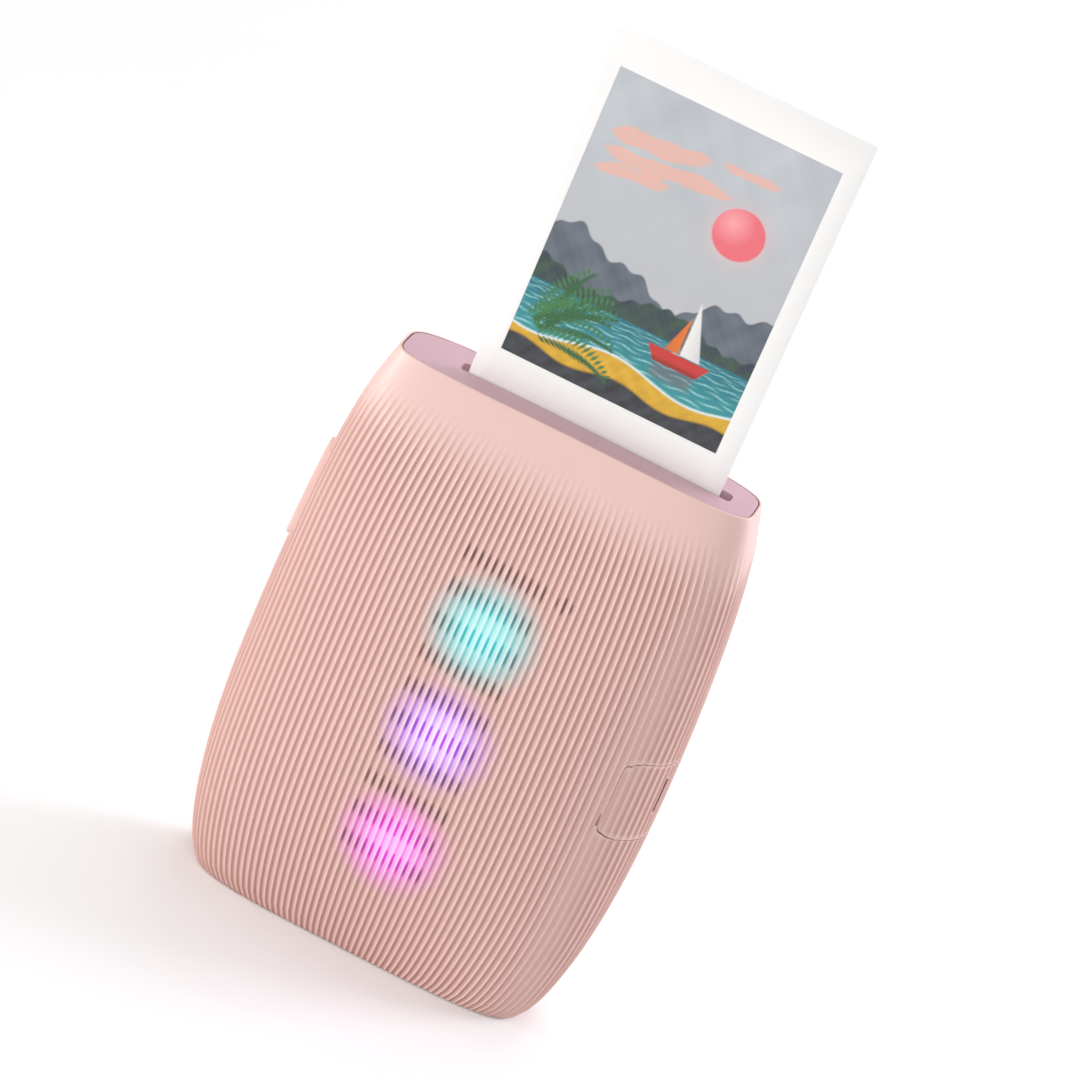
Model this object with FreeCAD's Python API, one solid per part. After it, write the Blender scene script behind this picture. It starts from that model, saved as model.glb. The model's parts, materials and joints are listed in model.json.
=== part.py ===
import FreeCAD, Part
import functools
import math
import os

os.makedirs("parts", exist_ok=True)
V = FreeCAD.Vector

# Compact photo printer standing upright on its flat base. All lengths are in millimetres.
# X points to the viewer's right, Y to the back, Z up, with the origin at the middle of the base.

# Casing
body_width = 90.3
body_depth = 34.6
body_height = 124.5
wall = 1.5
base_wall = 1.6
top_crown = 0.76
parting_y = 5.0
overrun = 2.0
flute_count = 132
flute_depth = 0.28
plain_sides = 64
cap_outline_knots = 48
ring_steps_per_point = 20
side_reach_share = 0.8
socket_reach_share = 0.9
stem_start_share = 0.95
lip_pilot_share = 0.6
screw_slot_share = 0.25
slot_mouth_overrun = 0.5

# Share of height, half width, half depth, corner exponent, centre offset share, flute depth share
body_station_shares = [
    (0.000, 0.807, 0.601, 3.61, 0.000, 1.00),
    (0.010, 0.830, 0.647, 3.56, 0.000, 1.00),
    (0.032, 0.866, 0.697, 3.45, 0.000, 1.00),
    (0.080, 0.911, 0.765, 3.23, 0.000, 1.00),
    (0.161, 0.956, 0.860, 2.93, 0.000, 1.00),
    (0.281, 0.990, 0.954, 2.61, 0.000, 1.00),
    (0.450, 1.000, 1.000, 2.43, 0.000, 1.00),
    (0.602, 0.989, 0.968, 2.58, -0.017, 1.00),
    (0.763, 0.960, 0.849, 3.11, -0.035, 1.00),
    (0.867, 0.927, 0.723, 3.66, -0.048, 0.85),
    (0.932, 0.894, 0.625, 4.08, -0.055, 0.12),
    (1.000, 0.841, 0.505, 4.59, -0.063, 0.00),
]

# Top cap and print slot
cap_thickness = 1.5
cap_rim = 0.40
cap_gap = 0.06
cap_plug_gap = 0.15
cap_plug_depth = 1.7
slot_width = 58.1
slot_depth = 3.6
slot_centre_x = 3.45
slot_front_gap = 0.30
slot_corner = 0.8
slot_bevel = 0.45

# Film sheets and the print that stands in the slot
film_width = 54.0
film_height = 86.0
film_thickness = 0.5
film_corner = 0.8
film_centre_x = 3.2
film_plane_y = -2.8
print_exposed = 77.0
picture_width = 46.0
picture_height = 62.0
picture_top_margin = 7.7
picture_thickness = 0.1
picture_gap = 0.05

# Film door, hinge and latch
door_bottom = 8.0
door_top = 107.5
door_gap = 0.3
hinge_x = -34.5
hinge_y = 9.8
nose_radius = 3.6
nose_gap = 0.3
pin_radius = 0.6
pin_gap = 0.05
knuckle_radius = 2.0
knuckle_gap = 0.25
hinge_bottom = 26.0
hinge_top = 88.0
knuckle_count = 5
knuckle_arm = 1.2
pin_seat = 1.0
latch_front_y = -12.0
latch_bottom = 50.3
latch_top = 68.8
latch_corner = 2.6
latch_gap = 0.15
latch_travel = 1.4
latch_pad = 1.6
latch_hook_y = 1.6
latch_hook_thickness = 1.0
latch_hook_reach = 1.8
latch_hook_inset = 0.5
latch_web_x = 37.0
latch_web_thickness = 1.8
latch_web_y = 0.8
latch_web_back = 7.6
latch_web_bottom = 55.0
latch_web_top = 64.0
latch_rail_thickness = 1.2
latch_rail_gap = 0.3
latch_rail_inner_x = 35.6
latch_rail_y = 5.6
catch_depth = 1.1
catch_thickness = 1.4
catch_gap = 0.4
catch_height = 2.6
slit_length = 8.1
slit_width = 0.6
slit_depth = 0.9
slit_y = -4.0
slit_z = 60.9

# Window and springs in the film door
window_width = 7.0
window_length = 16.0
window_z = 58.0
window_gap = 0.1
window_recess = 0.5
window_corner = 2.4
door_spring_width = 12.0
door_spring_thickness = 0.4
door_spring_half_length = 11.0
door_spring_foot = 3.0
door_spring_end_y = 12.6
door_spring_heights = [42.0, 77.0]
door_spring_gap = 0.3

# Side button and its switch
button_length = 22.4
button_width = 7.0
button_centre_y = -2.2
button_centre_z = 87.0
button_proud = 0.7
button_gap = 0.15
button_travel = 0.8
button_flange = 0.6
button_flange_gap = 0.2
button_flange_thickness = 0.9
button_stem_radius = 1.2
button_stem_end_x = -40.6
switch_play = 0.1
switch_plunger_radius = 0.9
switch_plunger_length = 0.5
switch_size = 4.0
switch_depth = 1.6
side_board_thickness = 1.0
side_board_front_y = -8.4
side_board_back_y = 2.0
side_board_bottom = 76.0
side_board_top = 98.0
side_post_radius = 0.8
side_post_y = -7.6
side_post_inset = 3.0

# Light board, lamps and diffusers
light_heights = [29.0, 57.6, 82.0]
light_centre_x = 0.5
light_radius = 8.5
light_ring = 0.8
light_dish_y = -12.4
light_front_gap = 0.3
light_board_y = -11.6
light_board_thickness = 0.8
light_board_width = 18.0
light_board_bottom = 20.0
light_board_top = 91.0
light_boss_radius = 1.6
light_boss_heights = [43.3, 69.8]
lamp_size = 2.0
lamp_thickness = 0.6
lamp_circle = 4.0
lamps_per_light = 4

# Film pack
pack_width = 60.0
pack_front_y = -4.3
pack_back_y = 8.2
pack_bottom = 12.0
pack_height = 90.5
pack_wall = 1.0
pack_corner = 1.0
pack_cavity_width = 54.8
pack_floor = 1.2
pack_roof = 2.5
pack_window_width = 47.0
pack_window_bottom = 29.0
pack_window_height = 63.0
sheet_count = 9
sheet_thickness = 0.45
sheet_pitch = 0.5
sheet_first_y = -2.2
sheet_bottom = 13.5
pack_plate_y = 2.6
pack_plate_thickness = 0.6
pack_plate_margin = 6.0
pack_leaf_width = 10.0
pack_leaf_half_length = 14.0
pack_leaf_thickness = 0.4
pack_leaf_gap = 0.2

# Chassis
chassis_wall = 1.4
chassis_gap = 0.3
chassis_back_y = 8.0
chassis_side_front_y = -7.8
chassis_side_back_y = 4.6
chassis_side_top = 116.6
chassis_side_step = 103.0
guide_bar_front_y = -2.2
guide_bar_back_y = -0.8
guide_bar_bottom = 103.2
guide_bar_top = 111.5
tab_thickness = 1.4
tab_height = 9.0
left_tab_x = -36.0
right_tab_x = 39.6
left_screw_x = -33.0
right_screw_x = 37.6
left_tab_heights = [16.0, 52.0]
right_tab_heights = [16.0, 100.0]
boss_radius = 1.9
screw_radius = 0.7
screw_head_radius = 1.4
screw_head_height = 0.8
screw_length = 3.6
screw_gap = 0.05
lip_front_y = 6.5
lip_thickness = 1.5
lip_shelf = 1.2
lip_left_x = -22.0
lip_right_x = 28.0
lip_screw_x = [-14.0, 20.0]
lip_top_screw_z = 105.9
lip_top_bottom = 103.4
lip_bottom_screw_z = 9.15
lip_bottom_top = 10.1
lip_boss_half = 1.8
lip_screw_head_radius = 1.05
seal_thickness = 1.0
seal_gap = 0.3
top_seal_height = 1.0
door_rim_thickness = 1.2

# Rollers
roller_z = 114.2
roller_radius = 2.3
roller_offset = 2.65
roller_length = 56.5
journal_radius = 1.0
bush_radius = 1.6
bush_gap = 0.03
bush_projection = 0.9
clip_thickness = 0.6
clip_band = 0.6
clip_gap = 0.03
clip_mouth = 1.6
slot_seal_height = 1.7
slot_seal_thickness = 0.75
slot_seal_gap = 0.1
slot_seal_margin = 1.0

# Gear train on the left side plate
gear_module = 0.5
pressure_angle = math.radians(20.0)
gear_backlash = 0.10
gear_tip_gap = 0.25
gear_face = 1.5
gear_plane_gap = 0.3
gear_wall_gap = 0.4
gear_bore_gap = 0.05
axle_radius = 0.75
gear_hub_radius = 1.4
axle_wall_share = 0.8
train_y = -1.0
upper_idler_y = -0.4
motor_pinion_teeth = 10
first_wheel_teeth = 24
first_pinion_teeth = 12
second_wheel_teeth = 30
second_pinion_teeth = 12
lower_idler_teeth = 28
upper_idler_teeth = 20
roller_gear_teeth = 16
plate_thickness = 0.6
plate_gap = 0.4
plate_front_y = -6.8
plate_back_y = 6.2
plate_bottom = 58.5
plate_top = 109.5
plate_corner = 2.0
plate_post_radius = 1.2
plate_post_places = [(4.0, 60.6), (-5.2, 60.6), (4.9, 100.3)]
motor_radius = 5.0
motor_end_x = -42.0
motor_boss_radius = 1.8
motor_flat = 4.0

# Exposure head
head_bottom = 104.0
head_top = 110.0
head_front_y = -8.4
head_back_y = -3.6
lens_bottom = 106.4
lens_top = 107.6
lens_gap = 0.2
lens_side_margin = 2.5

# Pick claw
claw_x = -20.0
claw_width = 4.8
claw_front_y = -7.5
claw_back_y = -6.3
claw_bottom = 12.3
claw_top = 34.0
claw_tip_width = 3.0
claw_tip_back_y = -2.5
claw_tip_height = 1.0
claw_travel = 10.0
claw_slot_gap = 0.5
claw_rail_thickness = 1.4
claw_rail_gap = 0.12
claw_rail_front_y = -7.9
claw_rail_top = 48.0

# Boards, battery and charging socket
main_board_left_x = -13.5
main_board_right_x = 31.0
main_board_bottom = 50.0
main_board_top = 100.0
main_board_y = -7.4
main_board_thickness = 1.0
board_screw_inset = 3.0
board_post_radius = 1.6
board_screw_radius = 0.5
board_screw_head_radius = 0.95
board_screw_head_height = 0.6
board_screw_length = 2.2
part_places = [
    (-4.0, 88.0, 14.0, 12.0, 1.4),
    (16.0, 86.0, 10.0, 10.0, 1.1),
    (18.0, 66.0, 9.0, 7.0, 1.1),
    (-5.0, 60.0, 6.0, 8.0, 1.2),
    (24.0, 55.0, 6.0, 4.0, 1.4),
]
battery_left_x = -14.0
battery_right_x = 30.0
battery_bottom = 14.0
battery_top = 46.0
battery_front_y = -9.6
battery_back_y = -6.2
battery_corner = 1.2
usb_z = 35.0
usb_length = 8.9
usb_width = 3.2
usb_shell = 0.3
usb_mouth_x = -43.6
usb_depth = 7.0
usb_back = 1.2
usb_tongue = 0.7
usb_tongue_length = 5.6
usb_hole_gap = 0.25
usb_board_front_y = -3.85
usb_board_thickness = 1.0
usb_board_left_x = -41.4
usb_board_half_height = 9.0
usb_bracket_left_x = -35.0
usb_bracket_half_height = 5.0
usb_bracket_thickness = 1.3
usb_screw_x = -32.0

# Sizes worked out from those above
half_width = body_width / 2
half_depth = body_depth / 2
skin = wall + flute_depth
pack_left_x = film_centre_x - pack_width / 2
pack_right_x = film_centre_x + pack_width / 2
pack_top = pack_bottom + pack_height
chamber_left_x = pack_left_x - chassis_gap
chamber_right_x = pack_right_x + chassis_gap
side_left_x = chamber_left_x - chassis_wall
side_right_x = chamber_right_x + chassis_wall
chamber_front_y = pack_front_y - chassis_gap
chassis_front_y = chamber_front_y - chassis_wall
chamber_bottom = pack_bottom - chassis_gap
chassis_bottom = chamber_bottom - chassis_wall
tab_front_y = chassis_front_y
tab_back_y = tab_front_y + tab_thickness
drive_roller_y = film_plane_y + roller_offset
pinch_roller_y = film_plane_y - roller_offset
print_bottom = body_height + print_exposed - film_height
plane_two_right_x = side_left_x - gear_wall_gap
plane_two_left_x = plane_two_right_x - gear_face
plane_one_right_x = plane_two_left_x - gear_plane_gap
plane_one_left_x = plane_one_right_x - gear_face
plate_right_x = plane_one_left_x - plate_gap
plate_left_x = plate_right_x - plate_thickness
plug_bottom = body_height - cap_thickness - cap_plug_depth
switch_front_x = button_stem_end_x + button_travel + switch_play
side_board_left_x = switch_front_x + switch_plunger_length + switch_depth
usb_centre_y = usb_board_front_y + usb_board_thickness + usb_width / 2
slot_front_y = film_plane_y - film_thickness / 2 - slot_front_gap


def box(x0, x1, y0, y1, z0, z1):
    return Part.makeBox(x1 - x0, y1 - y0, z1 - z0, V(x0, y0, z0))


def rod_x(radius, x0, x1, y, z):
    return Part.makeCylinder(radius, x1 - x0, V(x0, y, z), V(1, 0, 0))


def rod_y(radius, x, y0, y1, z):
    return Part.makeCylinder(radius, y1 - y0, V(x, y0, z), V(0, 1, 0))


def rod_z(radius, x, y, z0, z1):
    return Part.makeCylinder(radius, z1 - z0, V(x, y, z0), V(0, 0, 1))


def merged(pieces):
    return pieces[0].fuse(pieces[1:])


def joined(pieces):
    """One solid with the seams between flush faces taken out."""
    return merged(pieces).removeSplitter()


def without(shape, tools):
    return shape.cut(tools)


def rounded_outline(u0, u1, v0, v1, radius, place):
    """Closed wire of a rounded rectangle; place turns the two flat coordinates into a point."""
    turn = radius * (1 - math.sqrt(0.5))
    sides = [
        ((u0 + radius, v0), (u1 - radius, v0), (u1 - turn, v0 + turn), (u1, v0 + radius)),
        ((u1, v0 + radius), (u1, v1 - radius), (u1 - turn, v1 - turn), (u1 - radius, v1)),
        ((u1 - radius, v1), (u0 + radius, v1), (u0 + turn, v1 - turn), (u0, v1 - radius)),
        ((u0, v1 - radius), (u0, v0 + radius), (u0 + turn, v0 + turn), (u0 + radius, v0)),
    ]
    edges = []
    for start, end, middle, corner_end in sides:
        if math.dist(start, end) > radius / 1000:
            edges.append(Part.LineSegment(place(*start), place(*end)).toShape())
        edges.append(Part.Arc(place(*end), place(*middle), place(*corner_end)).toShape())
    return Part.Wire(edges)


def plate_x(y0, y1, z0, z1, radius, x0, x1):
    outline = rounded_outline(y0, y1, z0, z1, radius, lambda u, v: V(x0, u, v))
    return Part.Face(outline).extrude(V(x1 - x0, 0, 0))


def plate_y(x0, x1, z0, z1, radius, y0, y1):
    outline = rounded_outline(x0, x1, z0, z1, radius, lambda u, v: V(u, y0, v))
    return Part.Face(outline).extrude(V(0, y1 - y0, 0))


def plate_z(x0, x1, y0, y1, radius, z0, z1):
    outline = rounded_outline(x0, x1, y0, y1, radius, lambda u, v: V(u, v, z0))
    return Part.Face(outline).extrude(V(0, 0, z1 - z0))


def station_at(height):
    """Sizes of the casing's section at one height, between the rows of the table."""
    share = min(max(height / body_height, 0), 1)
    rows = body_station_shares
    for low, high in zip(rows, rows[1:]):
        if share <= high[0]:
            part = (share - low[0]) / (high[0] - low[0])
            return [a + (b - a) * part for a, b in zip(low, high)]
    return list(rows[-1])


def outline_points(height, inset, count, groove):
    """Points at equal steps round the casing's section; every second one is sunk by the groove."""
    row = station_at(height)
    half_x = half_width * row[1] - inset
    half_y = half_depth * row[2] - inset
    power = 2 / row[3]
    centre_y = half_depth * row[4]
    steps = ring_steps_per_point * count
    ring = []
    for index in range(steps + 1):
        angle = 2 * math.pi * index / steps
        c, s = math.cos(angle), math.sin(angle)
        x = half_x * math.copysign(abs(c) ** power, c)
        y = centre_y + half_y * math.copysign(abs(s) ** power, s)
        ring.append(V(x, y, height))
    lengths = [0]
    for before, after in zip(ring, ring[1:]):
        lengths.append(lengths[-1] + before.distanceToPoint(after))
    points = []
    at = 0
    for index in range(count):
        goal = lengths[-1] * index / count
        while lengths[at + 1] < goal:
            at += 1
        part = (goal - lengths[at]) / (lengths[at + 1] - lengths[at])
        along = ring[at + 1] - ring[at]
        point = ring[at] + along * part
        if index % 2:
            inward = V(-along.y, along.x, 0)
            inward.normalize()
            point = point + inward * groove
        points.append(point)
    return points


def fluted_body():
    """The outer form: a barrel with upright grooves that run out below the top."""
    wires = []
    for row in body_station_shares:
        points = outline_points(row[0] * body_height, 0, 2 * flute_count, flute_depth * row[5])
        wires.append(Part.makePolygon(points + points[:1]))
    return Part.makeLoft(wires, True, True)


@functools.lru_cache(maxsize=None)
def smooth_form(inset, bottom):
    """The plain barrel that lies an even inset inside the crests, open to the top."""
    heights = [bottom]
    heights += [row[0] * body_height for row in body_station_shares if row[0] * body_height > bottom + wall]
    wires = []
    for height in heights:
        points = outline_points(height, inset, plain_sides, 0)
        wires.append(Part.makePolygon(points + points[:1]))
    return Part.makeLoft(wires, True, True)


def crown_tool():
    """Everything below the gently arched top face."""
    reach = half_width + overrun
    edge_z = body_height - top_crown * (reach / half_width) ** 2
    start, end = V(-reach, -body_depth, edge_z), V(reach, -body_depth, edge_z)
    low_start, low_end = V(-reach, -body_depth, -overrun), V(reach, -body_depth, -overrun)
    edges = [
        Part.Arc(start, V(0, -body_depth, body_height), end).toShape(),
        Part.LineSegment(end, low_end).toShape(),
        Part.LineSegment(low_end, low_start).toShape(),
        Part.LineSegment(low_start, start).toShape(),
    ]
    return Part.Face(Part.Wire(edges)).extrude(V(0, 2 * body_depth, 0))


def cap_outline_solid(inset, bottom, top):
    """Upright prism on the section of the casing's top edge."""
    curve = Part.BSplineCurve()
    curve.interpolate(outline_points(body_height, inset, cap_outline_knots, 0), PeriodicFlag=True)
    face = Part.Face(Part.Wire(curve.toShape()))
    face.translate(V(0, 0, bottom - body_height))
    return face.extrude(V(0, 0, top - bottom))


def screw(x, y_seat, z, direction, radius, head_radius, head_height, length):
    """Slotted screw along Y whose head sits on y_seat and whose shank points in direction."""
    head = Part.makeCylinder(head_radius, head_height, V(x, y_seat, z), V(0, -direction, 0))
    shank = Part.makeCylinder(radius, length, V(x, y_seat, z), V(0, direction, 0))
    y_top, y_slot = y_seat - direction * head_height, y_seat - direction * head_height / 2
    slot = box(x - head_radius, x + head_radius, min(y_top, y_slot), max(y_top, y_slot),
               z - radius * screw_slot_share, z + radius * screw_slot_share)
    return head.fuse(shank).cut(slot)


def button_prism(margin, x0, x1):
    radius = button_width / 2 + margin
    half = button_length / 2 + margin
    return plate_x(button_centre_y - radius, button_centre_y + radius,
                   button_centre_z - half, button_centre_z + half, radius, x0, x1)


def latch_prism(margin, back_y, start_x):
    """Rounded panel outline seen from the side, grown by the margin and open to the back."""
    block = plate_x(latch_front_y - margin, back_y + 2 * latch_corner, latch_bottom - margin,
                    latch_top + margin, latch_corner, start_x, half_width + overrun)
    return block.cut(box(0, body_width, back_y, 2 * body_depth, 0, body_height))


def knuckle_spans():
    """Heights of the hinge knuckles; even ones belong to the rear shell, odd ones to the door."""
    step = (hinge_top - hinge_bottom) / knuckle_count
    return [(hinge_bottom + step * k, hinge_bottom + step * (k + 1)) for k in range(knuckle_count)]


def make_front_shell(blank):
    shell = blank.common(box(-body_width, body_width, -body_depth, parting_y, -overrun, body_height + overrun))
    hole_half = usb_length / 2 + usb_hole_gap
    hole_side = usb_width / 2 + usb_hole_gap
    usb_hole = plate_x(usb_centre_y - hole_side, usb_centre_y + hole_side, usb_z - hole_half,
                       usb_z + hole_half, hole_side, -half_width - overrun, -half_width * socket_reach_share)
    shell = without(shell, [button_prism(button_gap, -body_width, -half_width * side_reach_share),
                            latch_prism(0, body_depth, side_right_x - latch_travel - 2 * latch_gap), usb_hole])
    extras = []
    for x, heights in ((left_screw_x, left_tab_heights), (right_screw_x, right_tab_heights)):
        for z in heights:
            extras.append(rod_y(boss_radius, x, -half_depth, tab_front_y, z))
    for z in light_boss_heights:
        extras.append(rod_y(light_boss_radius, light_centre_x, -half_depth, light_board_y, z))
    for z in (side_board_bottom + side_post_inset, side_board_top - side_post_inset):
        extras.append(rod_x(side_post_radius, -half_width, side_board_left_x, side_post_y, z))
    catch_y = latch_hook_y + latch_hook_thickness + catch_gap
    ledge = box(side_right_x, half_width, catch_y, min(catch_y + catch_thickness, parting_y), latch_bottom
                - catch_height, latch_top + catch_height)
    ledge = ledge.cut(smooth_form(skin + catch_depth, base_wall)).cut(latch_prism(0, body_depth, side_right_x))
    extras.append(ledge)
    body = smooth_form(skin - wall / 2, base_wall / 2)
    extras = [piece.common(body) for piece in extras]
    shell = merged([shell] + extras)
    pilots = []
    for x, heights in ((left_screw_x, left_tab_heights), (right_screw_x, right_tab_heights)):
        for z in heights:
            pilots.append(rod_y(screw_radius + screw_gap, x, tab_back_y - screw_length - screw_gap,
                                tab_front_y + overrun, z))
    for z in light_boss_heights:
        pilots.append(rod_y(board_screw_radius + screw_gap, light_centre_x, light_board_y
                            + light_board_thickness - board_screw_length - screw_gap,
                            light_board_y + overrun, z))
    return without(shell, pilots)


def make_rear_shell(blank, outer):
    rear = blank.common(box(-body_width, body_width, parting_y, body_depth, -overrun, body_height + overrun))
    opening = box(hinge_x, body_width, 0, body_depth, door_bottom, door_top)
    channel = rod_z(nose_radius + nose_gap, hinge_x, hinge_y, door_bottom, door_top)
    rear = without(rear, [opening, channel])
    pieces = [rear]
    for index, (low, high) in enumerate(knuckle_spans()):
        if index % 2 == 0:
            barrel = rod_z(knuckle_radius, hinge_x, hinge_y, low, high)
            arm = box(-half_width, hinge_x, hinge_y - knuckle_arm, hinge_y, low, high)
            pieces.append(barrel.fuse(arm).common(outer))
    inner_limit = smooth_form(skin - wall / 2, base_wall / 2)
    top_lip = box(lip_left_x, lip_right_x, lip_front_y, lip_front_y + lip_thickness,
                  lip_top_bottom, door_top + lip_shelf)
    top_shelf = box(lip_left_x, lip_right_x, lip_front_y, half_depth, door_top, door_top + lip_shelf)
    low_lip = box(lip_left_x, lip_right_x, lip_front_y, lip_front_y + lip_thickness,
                  door_bottom - lip_shelf, lip_bottom_top)
    low_shelf = box(lip_left_x, lip_right_x, lip_front_y, half_depth, door_bottom - lip_shelf, door_bottom)
    for piece in (top_lip.fuse(top_shelf), low_lip.fuse(low_shelf)):
        pieces.append(piece.common(inner_limit))
    rear = merged(pieces)
    cuts = [rod_z(pin_radius + pin_gap, hinge_x, hinge_y, hinge_bottom + pin_seat, hinge_top + overrun)]
    for x in lip_screw_x:
        for z in (lip_top_screw_z, lip_bottom_screw_z):
            cuts.append(rod_y(screw_radius + screw_gap, x, lip_front_y - overrun, half_depth * lip_pilot_share, z))
    return without(rear, cuts)


def make_film_door(blank, outer):
    zone = box(hinge_x, body_width, parting_y + door_gap, body_depth, door_bottom + door_gap,
               door_top - door_gap)
    leaf = blank.common(zone)
    nose = rod_z(nose_radius, hinge_x, hinge_y, door_bottom + door_gap, door_top - door_gap).common(outer)
    pieces = [leaf, nose]
    inner_limit = smooth_form(skin - wall / 2, base_wall / 2)
    for low, high in ((latch_web_top + latch_rail_gap, latch_web_top + latch_rail_gap + latch_rail_thickness),
                      (latch_web_bottom - latch_rail_gap - latch_rail_thickness,
                       latch_web_bottom - latch_rail_gap)):
        rail = box(latch_rail_inner_x, half_width, latch_rail_y, latch_web_back + latch_rail_gap, low, high)
        pieces.append(rail.common(inner_limit))
    rim_y = chassis_back_y + seal_thickness + seal_gap
    rim = box(side_left_x, side_right_x, rim_y, half_depth, chassis_bottom, lip_top_bottom + top_seal_height)
    rim = rim.cut(box(side_left_x + door_rim_thickness, side_right_x - door_rim_thickness, 0, body_depth,
                      chassis_bottom + door_rim_thickness, lip_top_bottom + top_seal_height - door_rim_thickness))
    pieces.append(rim.common(inner_limit))
    for z in door_spring_heights:
        foot_z = z - door_spring_half_length
        pad = box(film_centre_x - door_spring_width / 2, film_centre_x + door_spring_width / 2,
                  door_spring_end_y + door_spring_thickness, half_depth,
                  foot_z - door_spring_foot, foot_z)
        pieces.append(pad.common(inner_limit))
    door = merged(pieces)
    cuts = [rod_z(pin_radius + pin_gap, hinge_x, hinge_y, door_bottom, door_top)]
    for index, (low, high) in enumerate(knuckle_spans()):
        if index % 2 == 0:
            cuts.append(rod_z(nose_radius + nose_gap, hinge_x, hinge_y, low - knuckle_gap,
                              high + knuckle_gap))
    cuts.append(window_prism(0))
    return without(door, cuts)


def window_prism(margin):
    side = window_width / 2 - margin
    half = window_length / 2 - margin
    return plate_y(film_centre_x - side, film_centre_x + side, window_z - half, window_z + half,
                   window_corner - margin, half_depth / 2, body_depth)


def make_pack_window():
    pane = smooth_form(window_recess, base_wall).cut(smooth_form(skin, base_wall))
    return pane.common(window_prism(window_gap))


def leaf_spring(x0, x1, foot_y, apex_y, z, half_length, foot, thickness):
    """Bowed steel strip along Z with one flat foot, wide in X, whose crown points to -Y."""
    def arc(offset):
        return Part.Arc(V(x0, foot_y + offset, z - half_length), V(x0, apex_y + offset, z),
                        V(x0, foot_y + offset, z + half_length))
    front, back = arc(0), arc(thickness)
    low = z - half_length
    edges = [
        front.toShape(),
        Part.LineSegment(V(x0, foot_y, z + half_length), V(x0, foot_y + thickness, z + half_length)).toShape(),
        back.toShape(),
        Part.LineSegment(V(x0, foot_y + thickness, low), V(x0, foot_y, low)).toShape(),
    ]
    bow = Part.Face(Part.Wire(Part.__sortEdges__(edges))).extrude(V(x1 - x0, 0, 0))
    tab = box(x0, x1, foot_y, foot_y + thickness, low - foot, low)
    return bow.fuse(tab).removeSplitter()


def make_door_springs():
    springs = []
    for z in door_spring_heights:
        springs.append(leaf_spring(film_centre_x - door_spring_width / 2,
                                   film_centre_x + door_spring_width / 2, door_spring_end_y,
                                   pack_back_y + door_spring_gap, z, door_spring_half_length,
                                   door_spring_foot, door_spring_thickness))
    return Part.makeCompound(springs)


def make_hinge_pin():
    return rod_z(pin_radius, hinge_x, hinge_y, hinge_bottom + pin_seat, hinge_top)


def make_door_latch(blank):
    inner = smooth_form(skin, base_wall)
    core = smooth_form(skin + latch_pad, base_wall)
    panel = blank.common(latch_prism(-latch_gap, parting_y - latch_gap, side_right_x))
    slit = box(half_width * side_reach_share, body_width, slit_y - slit_width / 2, slit_y + slit_width / 2,
               slit_z - slit_length / 2, slit_z + slit_length / 2)
    slit = slit.cut(smooth_form(slit_depth, base_wall))
    panel = panel.cut(slit)
    hook_back = latch_hook_y + latch_hook_thickness
    low, high = latch_bottom + latch_gap, latch_top - latch_gap
    body = smooth_form(skin - wall / 2, base_wall)
    pad = box(side_right_x, half_width, latch_web_y, hook_back, low, high).common(body).cut(core)
    hook = box(side_right_x, half_width, latch_hook_y, hook_back, low - latch_hook_reach,
               high + latch_hook_reach)
    hook = hook.common(smooth_form(skin + latch_hook_inset, base_wall)).cut(core)
    web = box(latch_web_x, latch_web_x + latch_web_thickness, latch_web_y, latch_web_back,
              latch_web_bottom, latch_web_top)
    bridge = box(latch_web_x, half_width, latch_web_y, hook_back, latch_web_bottom + latch_rail_thickness,
                 latch_web_top - latch_rail_thickness).common(inner)
    return merged([panel, pad, hook, web, bridge])


def make_side_button():
    stem_start = -half_width * stem_start_share
    cap = smooth_form(-button_proud, base_wall)
    back = smooth_form(skin + button_flange_gap + button_flange_thickness, base_wall)
    cap = cap.common(button_prism(0, -body_width, -half_width * side_reach_share)).cut(back)
    flange = smooth_form(skin + button_flange_gap, base_wall)
    flange = flange.common(button_prism(button_flange, -body_width, -half_width * side_reach_share)).cut(back)
    stem = rod_x(button_stem_radius, stem_start, button_stem_end_x, button_centre_y, button_centre_z)
    return merged([cap, flange, stem])


def make_button_switch():
    half = switch_size / 2
    body = box(side_board_left_x - switch_depth, side_board_left_x, button_centre_y - half,
               button_centre_y + half, button_centre_z - half, button_centre_z + half)
    plunger = rod_x(switch_plunger_radius, switch_front_x, side_board_left_x - switch_depth,
                    button_centre_y, button_centre_z)
    return body.fuse(plunger)


def make_button_board():
    board = box(side_board_left_x, side_board_left_x + side_board_thickness, side_board_front_y,
                side_board_back_y, side_board_bottom, side_board_top)
    return board


def make_top_cap():
    plate = cap_outline_solid(cap_rim + cap_gap, body_height - cap_thickness, body_height + overrun)
    plug = cap_outline_solid(skin + cap_plug_gap + cap_thickness, plug_bottom, body_height - cap_thickness)
    cap = plate.fuse(plug).common(crown_tool()).removeSplitter()
    left = slot_centre_x - slot_width / 2
    right = slot_centre_x + slot_width / 2
    back = slot_front_y + slot_depth
    slot = plate_z(left, right, slot_front_y, back, slot_corner, plug_bottom - overrun, body_height + overrun)
    mouth_low = body_height - slot_bevel - top_crown * (right / half_width) ** 2
    wires = []
    for grow, z in ((0, mouth_low), (slot_bevel + slot_mouth_overrun, body_height + slot_mouth_overrun)):
        wires.append(rounded_outline(left - grow, right + grow, slot_front_y - grow / 2, back + grow,
                                     slot_corner, lambda u, v: V(u, v, z)))
    mouth = Part.makeLoft(wires, True, True)
    return without(cap, [slot, mouth])


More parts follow.
